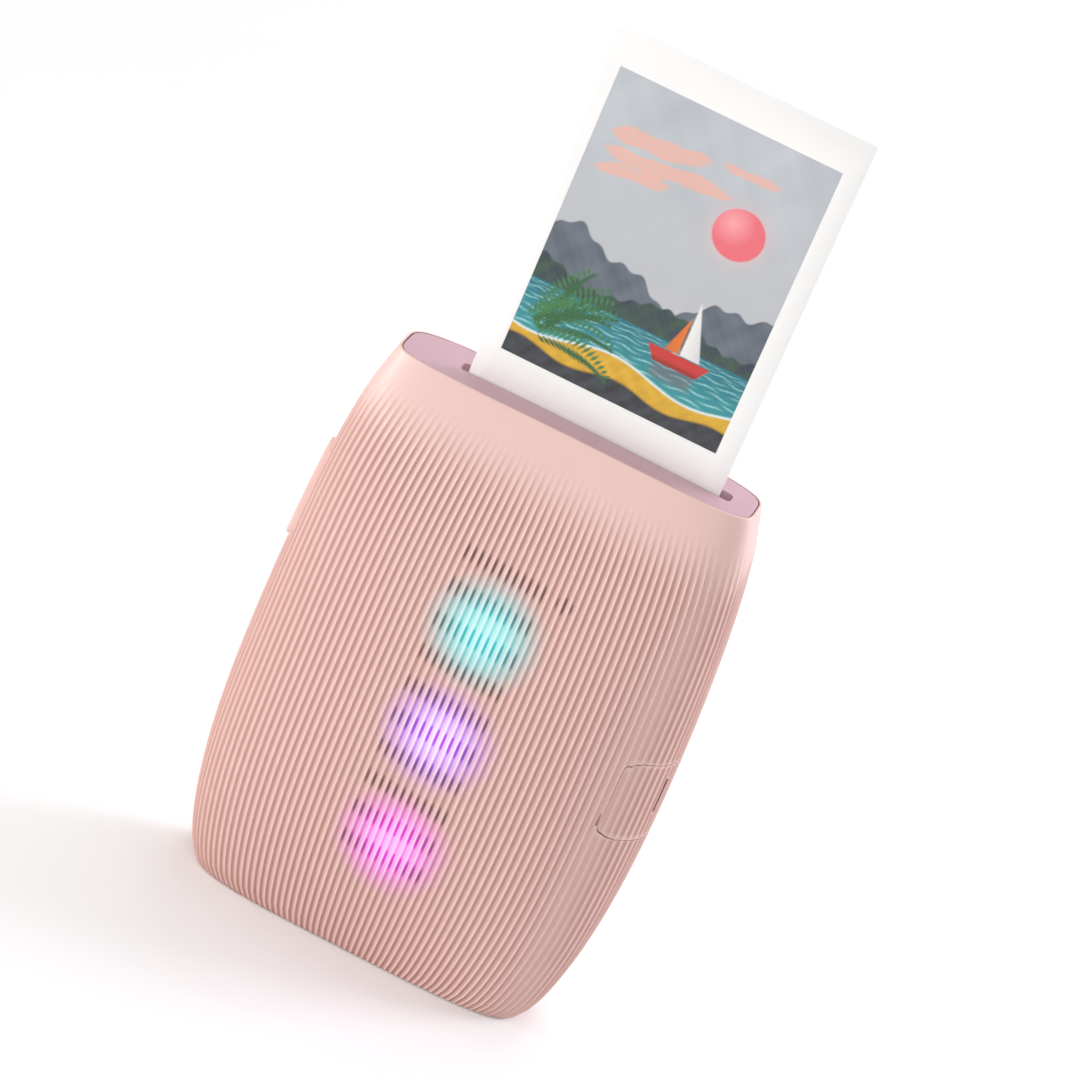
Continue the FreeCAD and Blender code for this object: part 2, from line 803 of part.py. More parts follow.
def make_slot_seals():
    left = slot_centre_x - slot_width / 2 + slot_seal_margin
    right = slot_centre_x + slot_width / 2 - slot_seal_margin
    front_back = film_plane_y - film_thickness / 2 - slot_seal_gap
    rear_front = film_plane_y + film_thickness / 2 + slot_seal_gap
    low = plug_bottom - slot_seal_height
    front = box(left, right, front_back - slot_seal_thickness, front_back, low, plug_bottom)
    # The rear strip lies on the plug behind the open slot
    carrier_y = slot_front_y + slot_depth
    rear = box(left, right, rear_front, carrier_y + slot_seal_thickness, low, low + slot_seal_thickness)
    riser = box(left, right, carrier_y, carrier_y + slot_seal_thickness, low, plug_bottom)
    return Part.makeCompound([front, rear.fuse(riser).removeSplitter()])


def make_chassis():
    outer = box(side_left_x, side_right_x, chassis_front_y, chassis_back_y, chassis_bottom, chassis_side_step)
    chamber = box(chamber_left_x, chamber_right_x, chamber_front_y, chassis_back_y + overrun,
                  chamber_bottom, chassis_side_step + overrun)
    tray = outer.cut(chamber)
    pieces = [tray]
    for x0 in (side_left_x, chamber_right_x):
        pieces.append(box(x0, x0 + chassis_wall, chassis_side_front_y, chassis_side_back_y,
                          chassis_side_step - chassis_wall, chassis_side_top))
    pieces.append(box(side_left_x, side_right_x, guide_bar_front_y, guide_bar_back_y, guide_bar_bottom,
                      guide_bar_top))
    half_tab = tab_height / 2
    casing_room = smooth_form(skin + chassis_gap, base_wall)
    for x0, x1, heights in ((left_tab_x, side_left_x + chassis_wall / 2, left_tab_heights),
                            (side_right_x - chassis_wall / 2, right_tab_x, right_tab_heights)):
        for z in heights:
            tab = box(x0, x1, tab_front_y, tab_back_y, z - half_tab, z + half_tab)
            pieces.append(tab.common(casing_room))
    for x in lip_screw_x:
        pieces.append(box(x - lip_boss_half, x + lip_boss_half, guide_bar_back_y, lip_front_y,
                          lip_top_screw_z - lip_boss_half, lip_top_screw_z + lip_boss_half))
        pieces.append(box(x - lip_boss_half, x + lip_boss_half, chassis_front_y, lip_front_y,
                          lip_bottom_screw_z - lip_boss_half, chassis_bottom + chassis_wall / 2))
    for y, z in plate_post_places:
        pieces.append(rod_x(plate_post_radius, plate_right_x, side_left_x, y, z))
    pieces.append(box(usb_bracket_left_x, side_left_x, usb_board_front_y - usb_bracket_thickness,
                      usb_board_front_y, usb_z - usb_bracket_half_height, usb_z + usb_bracket_half_height))
    for x in (claw_x - claw_width / 2 - claw_rail_gap - claw_rail_thickness,
              claw_x + claw_width / 2 + claw_rail_gap):
        pieces.append(box(x, x + claw_rail_thickness, claw_rail_front_y, chassis_front_y, chassis_bottom,
                          claw_rail_top))
    for x, z in main_board_corners():
        pieces.append(rod_y(board_post_radius, x, main_board_y, chassis_front_y, z))
    chassis = joined(pieces)
    cuts = []
    for y in (drive_roller_y, pinch_roller_y):
        cuts.append(rod_x(bush_radius + bush_gap, side_left_x - overrun, side_right_x + overrun, y, roller_z))
    for centre in gear_centres()[1:5]:
        cuts.append(rod_x(axle_radius + bush_gap, side_left_x - overrun, side_left_x
                          + chassis_wall * axle_wall_share, centre[0], centre[1]))
    slot_half = claw_tip_width / 2 + claw_slot_gap
    cuts.append(box(claw_x - slot_half, claw_x + slot_half, chassis_front_y - overrun,
                    chamber_front_y + overrun, chamber_bottom,
                    claw_bottom + claw_tip_height + claw_travel + claw_slot_gap))
    for x, heights in ((left_screw_x, left_tab_heights), (right_screw_x, right_tab_heights)):
        for z in heights:
            cuts.append(rod_y(screw_radius + screw_gap, x, tab_front_y - overrun, tab_back_y + overrun, z))
    for x in lip_screw_x:
        for z in (lip_top_screw_z, lip_bottom_screw_z):
            cuts.append(rod_y(screw_radius + screw_gap, x, lip_front_y + lip_thickness - screw_length
                              - screw_gap, lip_front_y + overrun, z))
    for x, z in main_board_corners():
        cuts.append(rod_y(board_screw_radius + screw_gap, x, main_board_y - overrun,
                          main_board_y - main_board_thickness + board_screw_length + screw_gap, z))
    return without(chassis, cuts)


def make_chassis_screws():
    screws = []
    for x, heights in ((left_screw_x, left_tab_heights), (right_screw_x, right_tab_heights)):
        for z in heights:
            screws.append(screw(x, tab_back_y, z, -1, screw_radius, screw_head_radius, screw_head_height,
                                screw_length))
    return Part.makeCompound(screws)


def make_shell_screws():
    screws = []
    for x in lip_screw_x:
        for z in (lip_top_screw_z, lip_bottom_screw_z):
            screws.append(screw(x, lip_front_y + lip_thickness, z, -1, screw_radius,
                                lip_screw_head_radius, screw_head_height, screw_length))
    return Part.makeCompound(screws)


def make_board_screws():
    screws = []
    size = (board_screw_radius, board_screw_head_radius, board_screw_head_height, board_screw_length)
    for x, z in main_board_corners():
        screws.append(screw(x, main_board_y - main_board_thickness, z, 1, *size))
    for z in light_boss_heights:
        screws.append(screw(light_centre_x, light_board_y + light_board_thickness, z, -1, *size))
    return Part.makeCompound(screws)


def make_door_seals():
    low, high = chamber_bottom, chassis_side_step
    back = chassis_back_y + seal_thickness
    left = box(side_left_x, chamber_left_x, chassis_back_y, back, low, high)
    right = box(chamber_right_x, side_right_x, chassis_back_y, back, low, high)
    bottom = box(side_left_x, side_right_x, chassis_back_y, back, chassis_bottom, chamber_bottom)
    rim = joined([left, right, bottom]).common(smooth_form(skin + seal_gap, base_wall))
    top = box(lip_left_x, lip_right_x, chassis_back_y, back, lip_top_bottom, lip_top_bottom + top_seal_height)
    return Part.makeCompound([rim, top])


def make_film_pack():
    case = plate_z(pack_left_x, pack_right_x, pack_front_y, pack_back_y, pack_corner, pack_bottom, pack_top)
    half = pack_cavity_width / 2
    cavity = box(film_centre_x - half, film_centre_x + half, pack_front_y + pack_wall,
                 pack_back_y - pack_wall, pack_bottom + pack_floor, pack_top - pack_roof)
    window = box(film_centre_x - pack_window_width / 2, film_centre_x + pack_window_width / 2,
                 pack_front_y - overrun, pack_front_y + overrun, pack_window_bottom,
                 pack_window_bottom + pack_window_height)
    exit_slit = box(film_centre_x - half, film_centre_x + half, pack_front_y + pack_wall,
                    film_plane_y + film_thickness, pack_top - pack_roof, pack_top + overrun)
    claw_half = claw_tip_width / 2 + claw_slot_gap
    claw_notch = box(claw_x - claw_half, claw_x + claw_half, pack_front_y - overrun,
                     claw_tip_back_y + claw_rail_gap, pack_bottom - overrun,
                     claw_bottom + claw_tip_height + claw_travel + claw_slot_gap)
    return without(case, [cavity, window, exit_slit, claw_notch])


def make_film_sheets():
    sheets = []
    for index in range(sheet_count):
        y = sheet_first_y + sheet_pitch * index
        sheets.append(box(film_centre_x - film_width / 2, film_centre_x + film_width / 2, y,
                          y + sheet_thickness, sheet_bottom, sheet_bottom + film_height))
    return Part.makeCompound(sheets)


def make_pack_spring():
    back = pack_plate_y + pack_plate_thickness
    low, high = sheet_bottom + pack_plate_margin, sheet_bottom + film_height - pack_plate_margin
    plate = box(film_centre_x - film_width / 2 + pack_plate_margin, film_centre_x + film_width / 2
                - pack_plate_margin, pack_plate_y, back, low, high)
    pieces = [plate]
    crown_y = pack_back_y - pack_wall - pack_leaf_gap
    middle = (low + high) / 2
    for z in (middle - pack_leaf_half_length * 1.2, middle + pack_leaf_half_length * 1.2):
        start = V(film_centre_x - pack_leaf_width / 2, back, z - pack_leaf_half_length)
        top = V(start.x, crown_y, z)
        end = V(start.x, back, z + pack_leaf_half_length)
        inner_start = start + V(0, 0, pack_leaf_thickness * 2)
        inner_end = end - V(0, 0, pack_leaf_thickness * 2)
        edges = [
            Part.Arc(start, top, end).toShape(),
            Part.LineSegment(end, inner_end).toShape(),
            Part.Arc(inner_end, top - V(0, pack_leaf_thickness, 0), inner_start).toShape(),
            Part.LineSegment(inner_start, start).toShape(),
        ]
        pieces.append(Part.Face(Part.Wire(edges)).extrude(V(pack_leaf_width, 0, 0)))
    return joined(pieces)


def make_instant_print():
    half = film_width / 2
    top = print_bottom + film_height
    front = film_plane_y - film_thickness / 2
    sheet = plate_y(film_centre_x - half, film_centre_x + half, print_bottom, top, film_corner,
                    front, front + film_thickness)
    grow = picture_gap
    recess = picture_solid(grow, front - overrun, front + picture_thickness)
    return sheet.cut(recess)


def picture_solid(grow, y0, y1):
    top = print_bottom + film_height - picture_top_margin
    return box(film_centre_x - picture_width / 2 - grow, film_centre_x + picture_width / 2 + grow,
               y0, y1, top - picture_height - grow, top + grow)


def make_print_image():
    front = film_plane_y - film_thickness / 2
    return picture_solid(0, front, front + picture_thickness)


def make_exposure_head():
    body = box(chamber_left_x, chamber_right_x, head_front_y, head_back_y, head_bottom, head_top)
    groove = box(chamber_left_x + lens_side_margin, chamber_right_x - lens_side_margin,
                 head_back_y - lens_top + lens_bottom, head_back_y + overrun, lens_bottom, lens_top)
    return body.cut(groove)


def make_head_lens():
    return box(chamber_left_x + lens_side_margin, chamber_right_x - lens_side_margin,
               head_back_y - lens_top + lens_bottom, film_plane_y - film_thickness / 2 - lens_gap,
               lens_bottom, lens_top)


def roller(y, left_end):
    half = roller_length / 2
    barrel = rod_x(roller_radius, film_centre_x - half, film_centre_x + half, y, roller_z)
    shaft = rod_x(journal_radius, left_end, side_right_x + bush_projection, y, roller_z)
    return barrel.fuse(shaft)


def make_roller_bushes():
    bushes = []
    for y in (drive_roller_y, pinch_roller_y):
        for x0, x1 in ((side_left_x - bush_projection, chamber_left_x),
                       (chamber_right_x, side_right_x + bush_projection)):
            ring = rod_x(bush_radius, x0, x1, y, roller_z)
            bushes.append(ring.cut(rod_x(journal_radius + pin_gap, x0 - overrun, x1 + overrun, y, roller_z)))
    return Part.makeCompound(bushes)


def make_roller_clips():
    """Open spring clips that pull the two rows of bushes together."""
    clips = []
    outer = bush_radius + clip_gap + clip_band
    inner = bush_radius + clip_gap
    middle = (drive_roller_y + pinch_roller_y) / 2
    spread = roller_offset
    for x0 in (side_left_x - bush_projection / 6 - clip_thickness, side_right_x + bush_projection / 6):
        shape = plate_x(middle - spread - outer, middle + spread + outer, roller_z - outer,
                        roller_z + outer, outer, x0, x0 + clip_thickness)
        hole = plate_x(middle - spread - inner, middle + spread + inner, roller_z - inner,
                       roller_z + inner, inner, x0 - overrun, x0 + overrun)
        mouth = box(x0 - overrun, x0 + overrun, middle - clip_mouth / 2, middle + clip_mouth / 2,
                    roller_z - body_depth, roller_z)
        clips.append(shape.cut(hole).cut(mouth))
    return Part.makeCompound(clips)


def pitch_radius(teeth):
    return gear_module * teeth / 2


def gear_centres():
    """Places (y, z) of motor pinion, first gear, second gear, lower idler, upper idler, roller gear."""
    steps = [
        (pitch_radius(roller_gear_teeth) + pitch_radius(upper_idler_teeth), upper_idler_y),
        (pitch_radius(upper_idler_teeth) + pitch_radius(lower_idler_teeth), train_y),
        (pitch_radius(lower_idler_teeth) + pitch_radius(second_pinion_teeth), train_y),
        (pitch_radius(second_wheel_teeth) + pitch_radius(first_pinion_teeth), train_y),
        (pitch_radius(first_wheel_teeth) + pitch_radius(motor_pinion_teeth), train_y),
    ]
    centres = [(drive_roller_y, roller_z)]
    for distance, y in steps:
        last_y, last_z = centres[-1]
        centres.append((y, last_z - math.sqrt(distance ** 2 - (y - last_y) ** 2)))
    return centres[::-1]


def meshed_turn(turn, teeth, centre, next_centre, next_teeth):
    """Turn of the next gear that puts its gap on this gear's tooth, both measured from +Y to +Z."""
    line = math.atan2(next_centre[1] - centre[1], next_centre[0] - centre[0])
    place = (line - turn) * teeth / (2 * math.pi)
    return line + math.pi - (0.5 - place) * 2 * math.pi / next_teeth


def gear_outline(teeth, turn, centre, x):
    """Closed outline of an involute spur gear in a plane of constant X."""
    pitch = pitch_radius(teeth)
    base = pitch * math.cos(pressure_angle)
    tip = pitch + gear_module
    root = pitch - gear_module - gear_tip_gap * gear_module
    half_tooth = (math.pi * gear_module / 2 - gear_backlash) / (2 * pitch)
    involute_at_pitch = math.tan(pressure_angle) - pressure_angle

    def half_angle(radius):
        if radius <= base:
            return half_tooth + involute_at_pitch
        slope = math.acos(base / radius)
        return half_tooth + involute_at_pitch - (math.tan(slope) - slope)

    flank = [root, max(base, root + gear_module / 10), (pitch + base) / 2 if base < pitch else pitch,
             pitch + gear_module / 2, tip]
    flank = sorted(set(flank))
    points = []
    for tooth in range(teeth):
        middle = turn + 2 * math.pi * tooth / teeth
        rising = [(radius, middle - half_angle(radius)) for radius in flank]
        falling = [(radius, middle + half_angle(radius)) for radius in reversed(flank)]
        for radius, angle in rising + falling:
            points.append(V(x, centre[0] + radius * math.cos(angle), centre[1] + radius * math.sin(angle)))
    return Part.makePolygon(points + points[:1])


def spur_gear(teeth, turn, centre, x0, x1):
    return Part.Face(gear_outline(teeth, turn, centre, x0)).extrude(V(x1 - x0, 0, 0))


def drilled(shape, centre, radius):
    return shape.cut(rod_x(radius, -body_width, body_width, centre[0], centre[1]))


def make_gears():
    """All gears of the train, turned so that the teeth mesh from the motor to the roller."""
    motor_c, first_c, second_c, lower_c, upper_c, roller_c = gear_centres()
    one, two = (plane_one_left_x, plane_one_right_x), (plane_two_left_x, plane_two_right_x)
    turn_motor = 0
    turn_first = meshed_turn(turn_motor, motor_pinion_teeth, motor_c, first_c, first_wheel_teeth)
    turn_second = meshed_turn(turn_first, first_pinion_teeth, first_c, second_c, second_wheel_teeth)
    turn_lower = meshed_turn(turn_second, second_pinion_teeth, second_c, lower_c, lower_idler_teeth)
    turn_upper = meshed_turn(turn_lower, lower_idler_teeth, lower_c, upper_c, upper_idler_teeth)
    turn_roller = meshed_turn(turn_upper, upper_idler_teeth, upper_c, roller_c, roller_gear_teeth)
    bore = axle_radius + gear_bore_gap
    parts = {}
    parts["motor_pinion"] = drilled(spur_gear(motor_pinion_teeth, turn_motor, motor_c, *one), motor_c,
                                    axle_radius)
    first = [spur_gear(first_wheel_teeth, turn_first, first_c, *one),
             spur_gear(first_pinion_teeth, turn_first, first_c, one[1], two[1])]
    parts["first_gear"] = drilled(joined(first), first_c, bore)
    second = [spur_gear(second_wheel_teeth, turn_second, second_c, *two),
              spur_gear(second_pinion_teeth, turn_second, second_c, one[0], two[0])]
    parts["second_gear"] = drilled(joined(second), second_c, bore)
    for name, teeth, turn, centre in (("lower_idler", lower_idler_teeth, turn_lower, lower_c),
                                      ("upper_idler", upper_idler_teeth, turn_upper, upper_c)):
        hub = rod_x(gear_hub_radius, one[1], two[1], *centre)
        parts[name] = drilled(joined([spur_gear(teeth, turn, centre, *one), hub]), centre, bore)
    parts["roller_gear"] = drilled(spur_gear(roller_gear_teeth, turn_roller, roller_c, *one), roller_c,
                                   journal_radius)
    return parts


def make_gear_axles():
    pins = []
    for centre in gear_centres()[1:5]:
        pins.append(rod_x(axle_radius, plate_left_x, side_left_x + chassis_wall * axle_wall_share, *centre))
    return Part.makeCompound(pins)


def make_gear_plate():
    plate = plate_x(plate_front_y, plate_back_y, plate_bottom, plate_top, plate_corner, plate_left_x,
                    plate_right_x)
    centres = gear_centres()
    cuts = [rod_x(axle_radius + bush_gap, -body_width, 0, *centre) for centre in centres[1:5]]
    cuts.append(rod_x(motor_boss_radius + bush_gap, -body_width, 0, *centres[0]))
    return without(plate, cuts)


def make_motor():
    y, z = gear_centres()[0]
    can = rod_x(motor_radius, motor_end_x, plate_left_x, y, z)
    for side in (-1, 1):
        edge = y + side * motor_flat
        can = can.cut(box(-body_width, 0, min(edge, edge + side * motor_radius), max(edge, edge + side
                          * motor_radius), z - body_depth, z + body_depth))
    boss = rod_x(motor_boss_radius, plate_left_x, plate_right_x, y, z)
    bore = rod_x(axle_radius + gear_bore_gap, motor_end_x + wall, 0, y, z)
    return can.fuse(boss).cut(bore)


def make_motor_shaft():
    y, z = gear_centres()[0]
    return rod_x(axle_radius, motor_end_x + wall + gear_wall_gap, plane_one_right_x, y, z)


def make_pick_claw():
    half = claw_width / 2
    slide = box(claw_x - half, claw_x + half, claw_front_y, claw_back_y, claw_bottom, claw_top)
    tip_half = claw_tip_width / 2
    arm = box(claw_x - tip_half, claw_x + tip_half, claw_back_y, claw_tip_back_y, claw_bottom,
              claw_bottom + claw_tip_height)
    return joined([slide, arm])


def main_board_corners():
    inset = board_screw_inset
    return [(x, z) for x in (main_board_left_x + inset, main_board_right_x - inset)
            for z in (main_board_bottom + inset, main_board_top - inset)]


def make_main_board():
    board = box(main_board_left_x, main_board_right_x, main_board_y - main_board_thickness, main_board_y,
                main_board_bottom, main_board_top)
    holes = [rod_y(board_screw_radius + screw_gap, x, main_board_y - overrun, main_board_y + overrun, z)
             for x, z in main_board_corners()]
    return without(board, holes)


def make_board_parts():
    front = main_board_y - main_board_thickness
    return Part.makeCompound([box(x - w / 2, x + w / 2, front - t, front, z - h / 2, z + h / 2)
                              for x, z, w, h, t in part_places])


def make_light_board():
    half = light_board_width / 2
    board = box(light_centre_x - half, light_centre_x + half, light_board_y,
                light_board_y + light_board_thickness, light_board_bottom, light_board_top)
    holes = [rod_y(board_screw_radius + screw_gap, light_centre_x, light_board_y - overrun,
                   light_board_y + overrun, z) for z in light_boss_heights]
    return without(board, holes)


def make_lamps():
    lamps = []
    half = lamp_size / 2
    for z in light_heights:
        for index in range(lamps_per_light):
            angle = math.pi / 4 + 2 * math.pi * index / lamps_per_light
            x = light_centre_x + lamp_circle * math.cos(angle)
            lamp_z = z + lamp_circle * math.sin(angle)
            lamps.append(box(x - half, x + half, light_board_y - lamp_thickness, light_board_y,
                             lamp_z - half, lamp_z + half))
    return Part.makeCompound(lamps)


def make_light_diffusers():
    limit = smooth_form(skin + light_front_gap, base_wall)
    discs = []
    for z in light_heights:
        dish = rod_y(light_radius, light_centre_x, -half_depth, light_dish_y, z).common(limit)
        ring = rod_y(light_radius, light_centre_x, light_dish_y, light_board_y, z)
        ring = ring.cut(rod_y(light_radius - light_ring, light_centre_x, light_dish_y - overrun,
                              light_board_y + overrun, z))
        discs.append(dish.fuse(ring).removeSplitter())
    return Part.makeCompound(discs)


def make_battery():
    return plate_y(battery_left_x, battery_right_x, battery_bottom, battery_top, battery_corner,
                   battery_front_y, battery_back_y)


def make_usb_socket():
    half, side = usb_length / 2, usb_width / 2
    shell = plate_x(usb_centre_y - side, usb_centre_y + side, usb_z - half, usb_z + half, side,
                    usb_mouth_x, usb_mouth_x + usb_depth)
    bore = plate_x(usb_centre_y - side + usb_shell, usb_centre_y + side - usb_shell, usb_z - half + usb_shell,
                   usb_z + half - usb_shell, side - usb_shell, usb_mouth_x - overrun,
                   usb_mouth_x + usb_depth - usb_back)
    back = usb_mouth_x + usb_depth - usb_back
    tongue = box(back - usb_tongue_length + usb_back, back + usb_back / 2, usb_centre_y - usb_tongue / 2,
                 usb_centre_y + usb_tongue / 2, usb_z - half + usb_width / 2, usb_z + half - usb_width / 2)
    return shell.cut(bore).fuse(tongue).removeSplitter()


def make_usb_board():
    board = box(usb_board_left_x, side_left_x - chassis_gap, usb_board_front_y,
                usb_board_front_y + usb_board_thickness, usb_z - usb_board_half_height,
                usb_z + usb_board_half_height)
    return board


def build_parts():
    outer = fluted_body().common(crown_tool())
    inner = smooth_form(skin, base_wall)
    pocket = cap_outline_solid(cap_rim, body_height - cap_thickness, body_height + overrun)
    blank = outer.cut(inner).cut(pocket)
    parts = {
        "front_shell": make_front_shell(blank),
        "rear_shell": make_rear_shell(blank, outer),
        "film_door": make_film_door(blank, outer),
        "door_latch": make_door_latch(blank),
        "hinge_pin": make_hinge_pin(),
        "pack_window": make_pack_window(),
        "door_springs": make_door_springs(),
        "door_seals": make_door_seals(),
        "top_cap": make_top_cap(),
        "slot_seals": make_slot_seals(),
        "side_button": make_side_button(),
        "button_switch": make_button_switch(),
        "button_board": make_button_board(),
        "light_board": make_light_board(),
        "lamps": make_lamps(),
        "light_diffusers": make_light_diffusers(),
        "chassis": make_chassis(),
        "chassis_screws": make_chassis_screws(),
        "shell_screws": make_shell_screws(),
        "board_screws": make_board_screws(),
        "film_pack": make_film_pack(),
        "film_sheets": make_film_sheets(),
        "pack_spring": make_pack_spring(),
        "instant_print": make_instant_print(),
        "print_image": make_print_image(),
        "exposure_head": make_exposure_head(),
        "head_lens": make_head_lens(),
        "drive_roller": roller(drive_roller_y, plane_one_left_x),
        "pinch_roller": roller(pinch_roller_y, side_left_x - bush_projection),
        "roller_bushes": make_roller_bushes(),
        "roller_clips": make_roller_clips(),
        "gear_axles": make_gear_axles(),
        "gear_plate": make_gear_plate(),
        "motor": make_motor(),
        "motor_shaft": make_motor_shaft(),
        "pick_claw": make_pick_claw(),
        "main_board": make_main_board(),
        "board_parts": make_board_parts(),
        "battery": make_battery(),
        "usb_socket": make_usb_socket(),
        "usb_board": make_usb_board(),
    }
    parts.update(make_gears())
    return parts


for name, shape in build_parts().items():
    print(name, "solids", len(shape.Solids), "valid", shape.isValid(), "volume", round(shape.Volume, 2))
    shape.exportStep("parts/" + name + ".step")
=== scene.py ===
"""Looks of a compact photo printer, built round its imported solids.

Lengths in the classes are millimetres, and everything is turned to metres where a mesh is made.
"""

import json
import logging
import math
from dataclasses import dataclass
from enum import Enum
from typing import Any

import bmesh
import bpy
import numpy as np
from mathutils import Matrix, Vector

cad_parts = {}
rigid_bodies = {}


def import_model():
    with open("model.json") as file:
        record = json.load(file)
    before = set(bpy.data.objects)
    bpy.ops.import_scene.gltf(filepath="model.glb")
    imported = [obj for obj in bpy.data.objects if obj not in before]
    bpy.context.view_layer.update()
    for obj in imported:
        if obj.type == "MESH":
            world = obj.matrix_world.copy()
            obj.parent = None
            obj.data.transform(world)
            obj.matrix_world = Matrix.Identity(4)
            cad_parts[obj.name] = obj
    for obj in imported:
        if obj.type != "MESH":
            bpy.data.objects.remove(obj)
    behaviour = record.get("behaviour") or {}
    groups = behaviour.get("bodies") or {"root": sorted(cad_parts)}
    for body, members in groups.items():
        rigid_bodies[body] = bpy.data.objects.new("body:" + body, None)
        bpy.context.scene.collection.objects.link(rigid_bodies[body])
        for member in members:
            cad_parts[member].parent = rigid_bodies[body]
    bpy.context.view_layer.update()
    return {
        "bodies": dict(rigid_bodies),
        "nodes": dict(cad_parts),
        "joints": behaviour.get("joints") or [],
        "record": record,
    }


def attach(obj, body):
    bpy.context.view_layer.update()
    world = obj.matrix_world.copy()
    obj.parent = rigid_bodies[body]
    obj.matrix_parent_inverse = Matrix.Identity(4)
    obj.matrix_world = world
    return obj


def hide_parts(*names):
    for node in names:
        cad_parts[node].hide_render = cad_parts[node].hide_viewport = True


LOG = logging.getLogger("photo_printer")
MM = 0.001
WHITE = (1.0, 1.0, 1.0, 1.0)


class Axis(Enum):
    """Directions that a rod can lie along."""

    X = 0
    Y = 1
    Z = 2


class Level(Enum):
    """How finely the casing's shells are divided: steps across a rib and rows up the wall."""

    QUICK = (4, 26)
    FULL = (10, 62)


# Materials


def linear(code: str) -> tuple[float, float, float, float]:
    """Turn six hex digits of sRGB into linear red, green, blue and alpha."""
    parts = [int(code[at:at + 2], 16) / 255 for at in (0, 2, 4)]
    return tuple(v / 12.92 if v <= 0.04045 else ((v + 0.055) / 1.055) ** 2.4 for v in parts) + (1.0,)


class Nodes:
    """Node tree of a material or a world, with the steps that the finishes share."""

    def __init__(self, owner: Any) -> None:
        """Open the tree of a material or a world.

        Args:
            owner: The material or world.
        """
        owner.use_nodes = True
        self.tree = owner.node_tree

    def out(self, kind: str, output: int | str, settings: dict | None = None) -> Any:
        """Add one shader node.

        Args:
            kind: The node's type without its prefix.
            output: Name or number of the wanted output.
            settings: Attributes, and inputs by name or number, with a value or the socket that feeds each.

        Returns:
            The wanted output socket.
        """
        node = self.tree.nodes.new("ShaderNode" + kind)
        for name, value in (settings or {}).items():
            if isinstance(name, str) and hasattr(node, name):
                setattr(node, name, value)
            elif isinstance(value, bpy.types.NodeSocket):
                self.tree.links.new(value, node.inputs[name])
            else:
                node.inputs[name].default_value = value
        return node.outputs[output]

    def named(self, name: str) -> Any:
        """Numbers of one attribute of the mesh."""
        return self.out("Attribute", "Fac", {"attribute_name": name})

    def math(self, kind: str, first: Any, second: Any = 0.0, clamp: bool = False) -> Any:
        """One step of arithmetic on sockets or numbers."""
        return self.out("Math", 0, {"operation": kind, "use_clamp": clamp, 0: first, 1: second})

    def times(self, first: Any, *factors: Any) -> Any:
        """Product of sockets or numbers.

        Args:
            first: The first factor.
            *factors: The other factors.

        Returns:
            Socket with the product.
        """
        for factor in factors:
            first = self.math("MULTIPLY", first, factor)
        return first

    def ramp(self, value: Any, start: float, end: float) -> Any:
        """Zero at start and one at end, with a smooth step between them."""
        return self.out("MapRange", "Result", {"interpolation_type": "SMOOTHSTEP", "Value": value,
                                               "From Min": start, "From Max": end})

    def mixed(self, first: Any, second: Any, share: Any) -> Any:
        """Colour between two colours or sockets."""
        return self.out("Mix", 2, {"data_type": "RGBA", 6: first, 7: second, "Factor": share})

    def noise(self, place: Any, size_mm: float, detail: float = 2.0, rough: float = 0.5) -> Any:
        """Cloudy pattern with patches of about the given size."""
        return self.out("TexNoise", "Fac", {"Vector": place, "Scale": 1 / (size_mm * MM), "Detail": detail,
                                            "Roughness": rough})

    def drift(self, place: Any, size_mm: float, first: str, second: str) -> Any:
        """Colour that wanders between two tones."""
        return self.mixed(linear(first), linear(second), self.noise(place, size_mm))

    def bump(self, height: Any, depth_mm: float, strength: float = 1.0) -> Any:
        """Normal that is bent by a height pattern."""
        return self.out("Bump", "Normal", {"Strength": strength, "Distance": depth_mm * MM, "Height": height})

    def grain(self, place: Any, size_mm: float, depth_mm: float, strength: float = 1.0) -> Any:
        """Normal that is bent by a fine even grain."""
        return self.bump(self.noise(place, size_mm, 3.0, 0.6), depth_mm, strength)

    def distance(self, flat: Any, x_mm: float, z_mm: float) -> Any:
        """Distance of each point of the front from one place on it."""
        spot = (x_mm * MM, 0, z_mm * MM)
        return self.out("VectorMath", "Value", {"operation": "DISTANCE", 0: flat, 1: spot})


@dataclass(frozen=True)
class Finish:
    """A named finish whose values lie on one principled shader."""

    name: str

    def material(self) -> Any:
        """Build the node material.

        Returns:
            The material.
        """
        material = bpy.data.materials.new(self.name)
        nodes = Nodes(material)
        nodes.tree.nodes.clear()
        shader = nodes.out("BsdfPrincipled", 0, self.values(nodes, nodes.out("TexCoord", "Object")))
        end = nodes.tree.nodes.new("ShaderNodeOutputMaterial")
        nodes.tree.links.new(shader, end.inputs["Surface"])
        return material

    def values(self, nodes: Nodes, place: Any) -> dict:
        """Shader values and the sockets that feed it; each finish has its own."""
        raise NotImplementedError


@dataclass(frozen=True)
class Moulded(Finish):
    """Injection-moulded plastic or rubber: even colour, slight flow tint, spark-eroded grain."""

    colour: str
    tint: str
    roughness: float = 0.5
    grain_mm: float = 0.25
    grain_depth_mm: float = 0.006
    flow_mm: float = 30.0
    coat: float = 0.0
    subsurface: float = 0.0

    def values(self, nodes: Nodes, place: Any) -> dict:
        """Two close tones under a fine grain.

        Args:
            nodes: The material's nodes.
            place: Socket with the object coordinates.

        Returns:
            Shader values and the sockets that feed it.
        """
        return {"Base Color": nodes.drift(place, self.flow_mm, self.colour, self.tint),
                "Normal": nodes.grain(place, self.grain_mm, self.grain_depth_mm),
                "Roughness": self.roughness, "IOR": 1.5, "Coat Weight": self.coat,
                "Subsurface Weight": self.subsurface, "Subsurface Scale": 1.0 * MM}


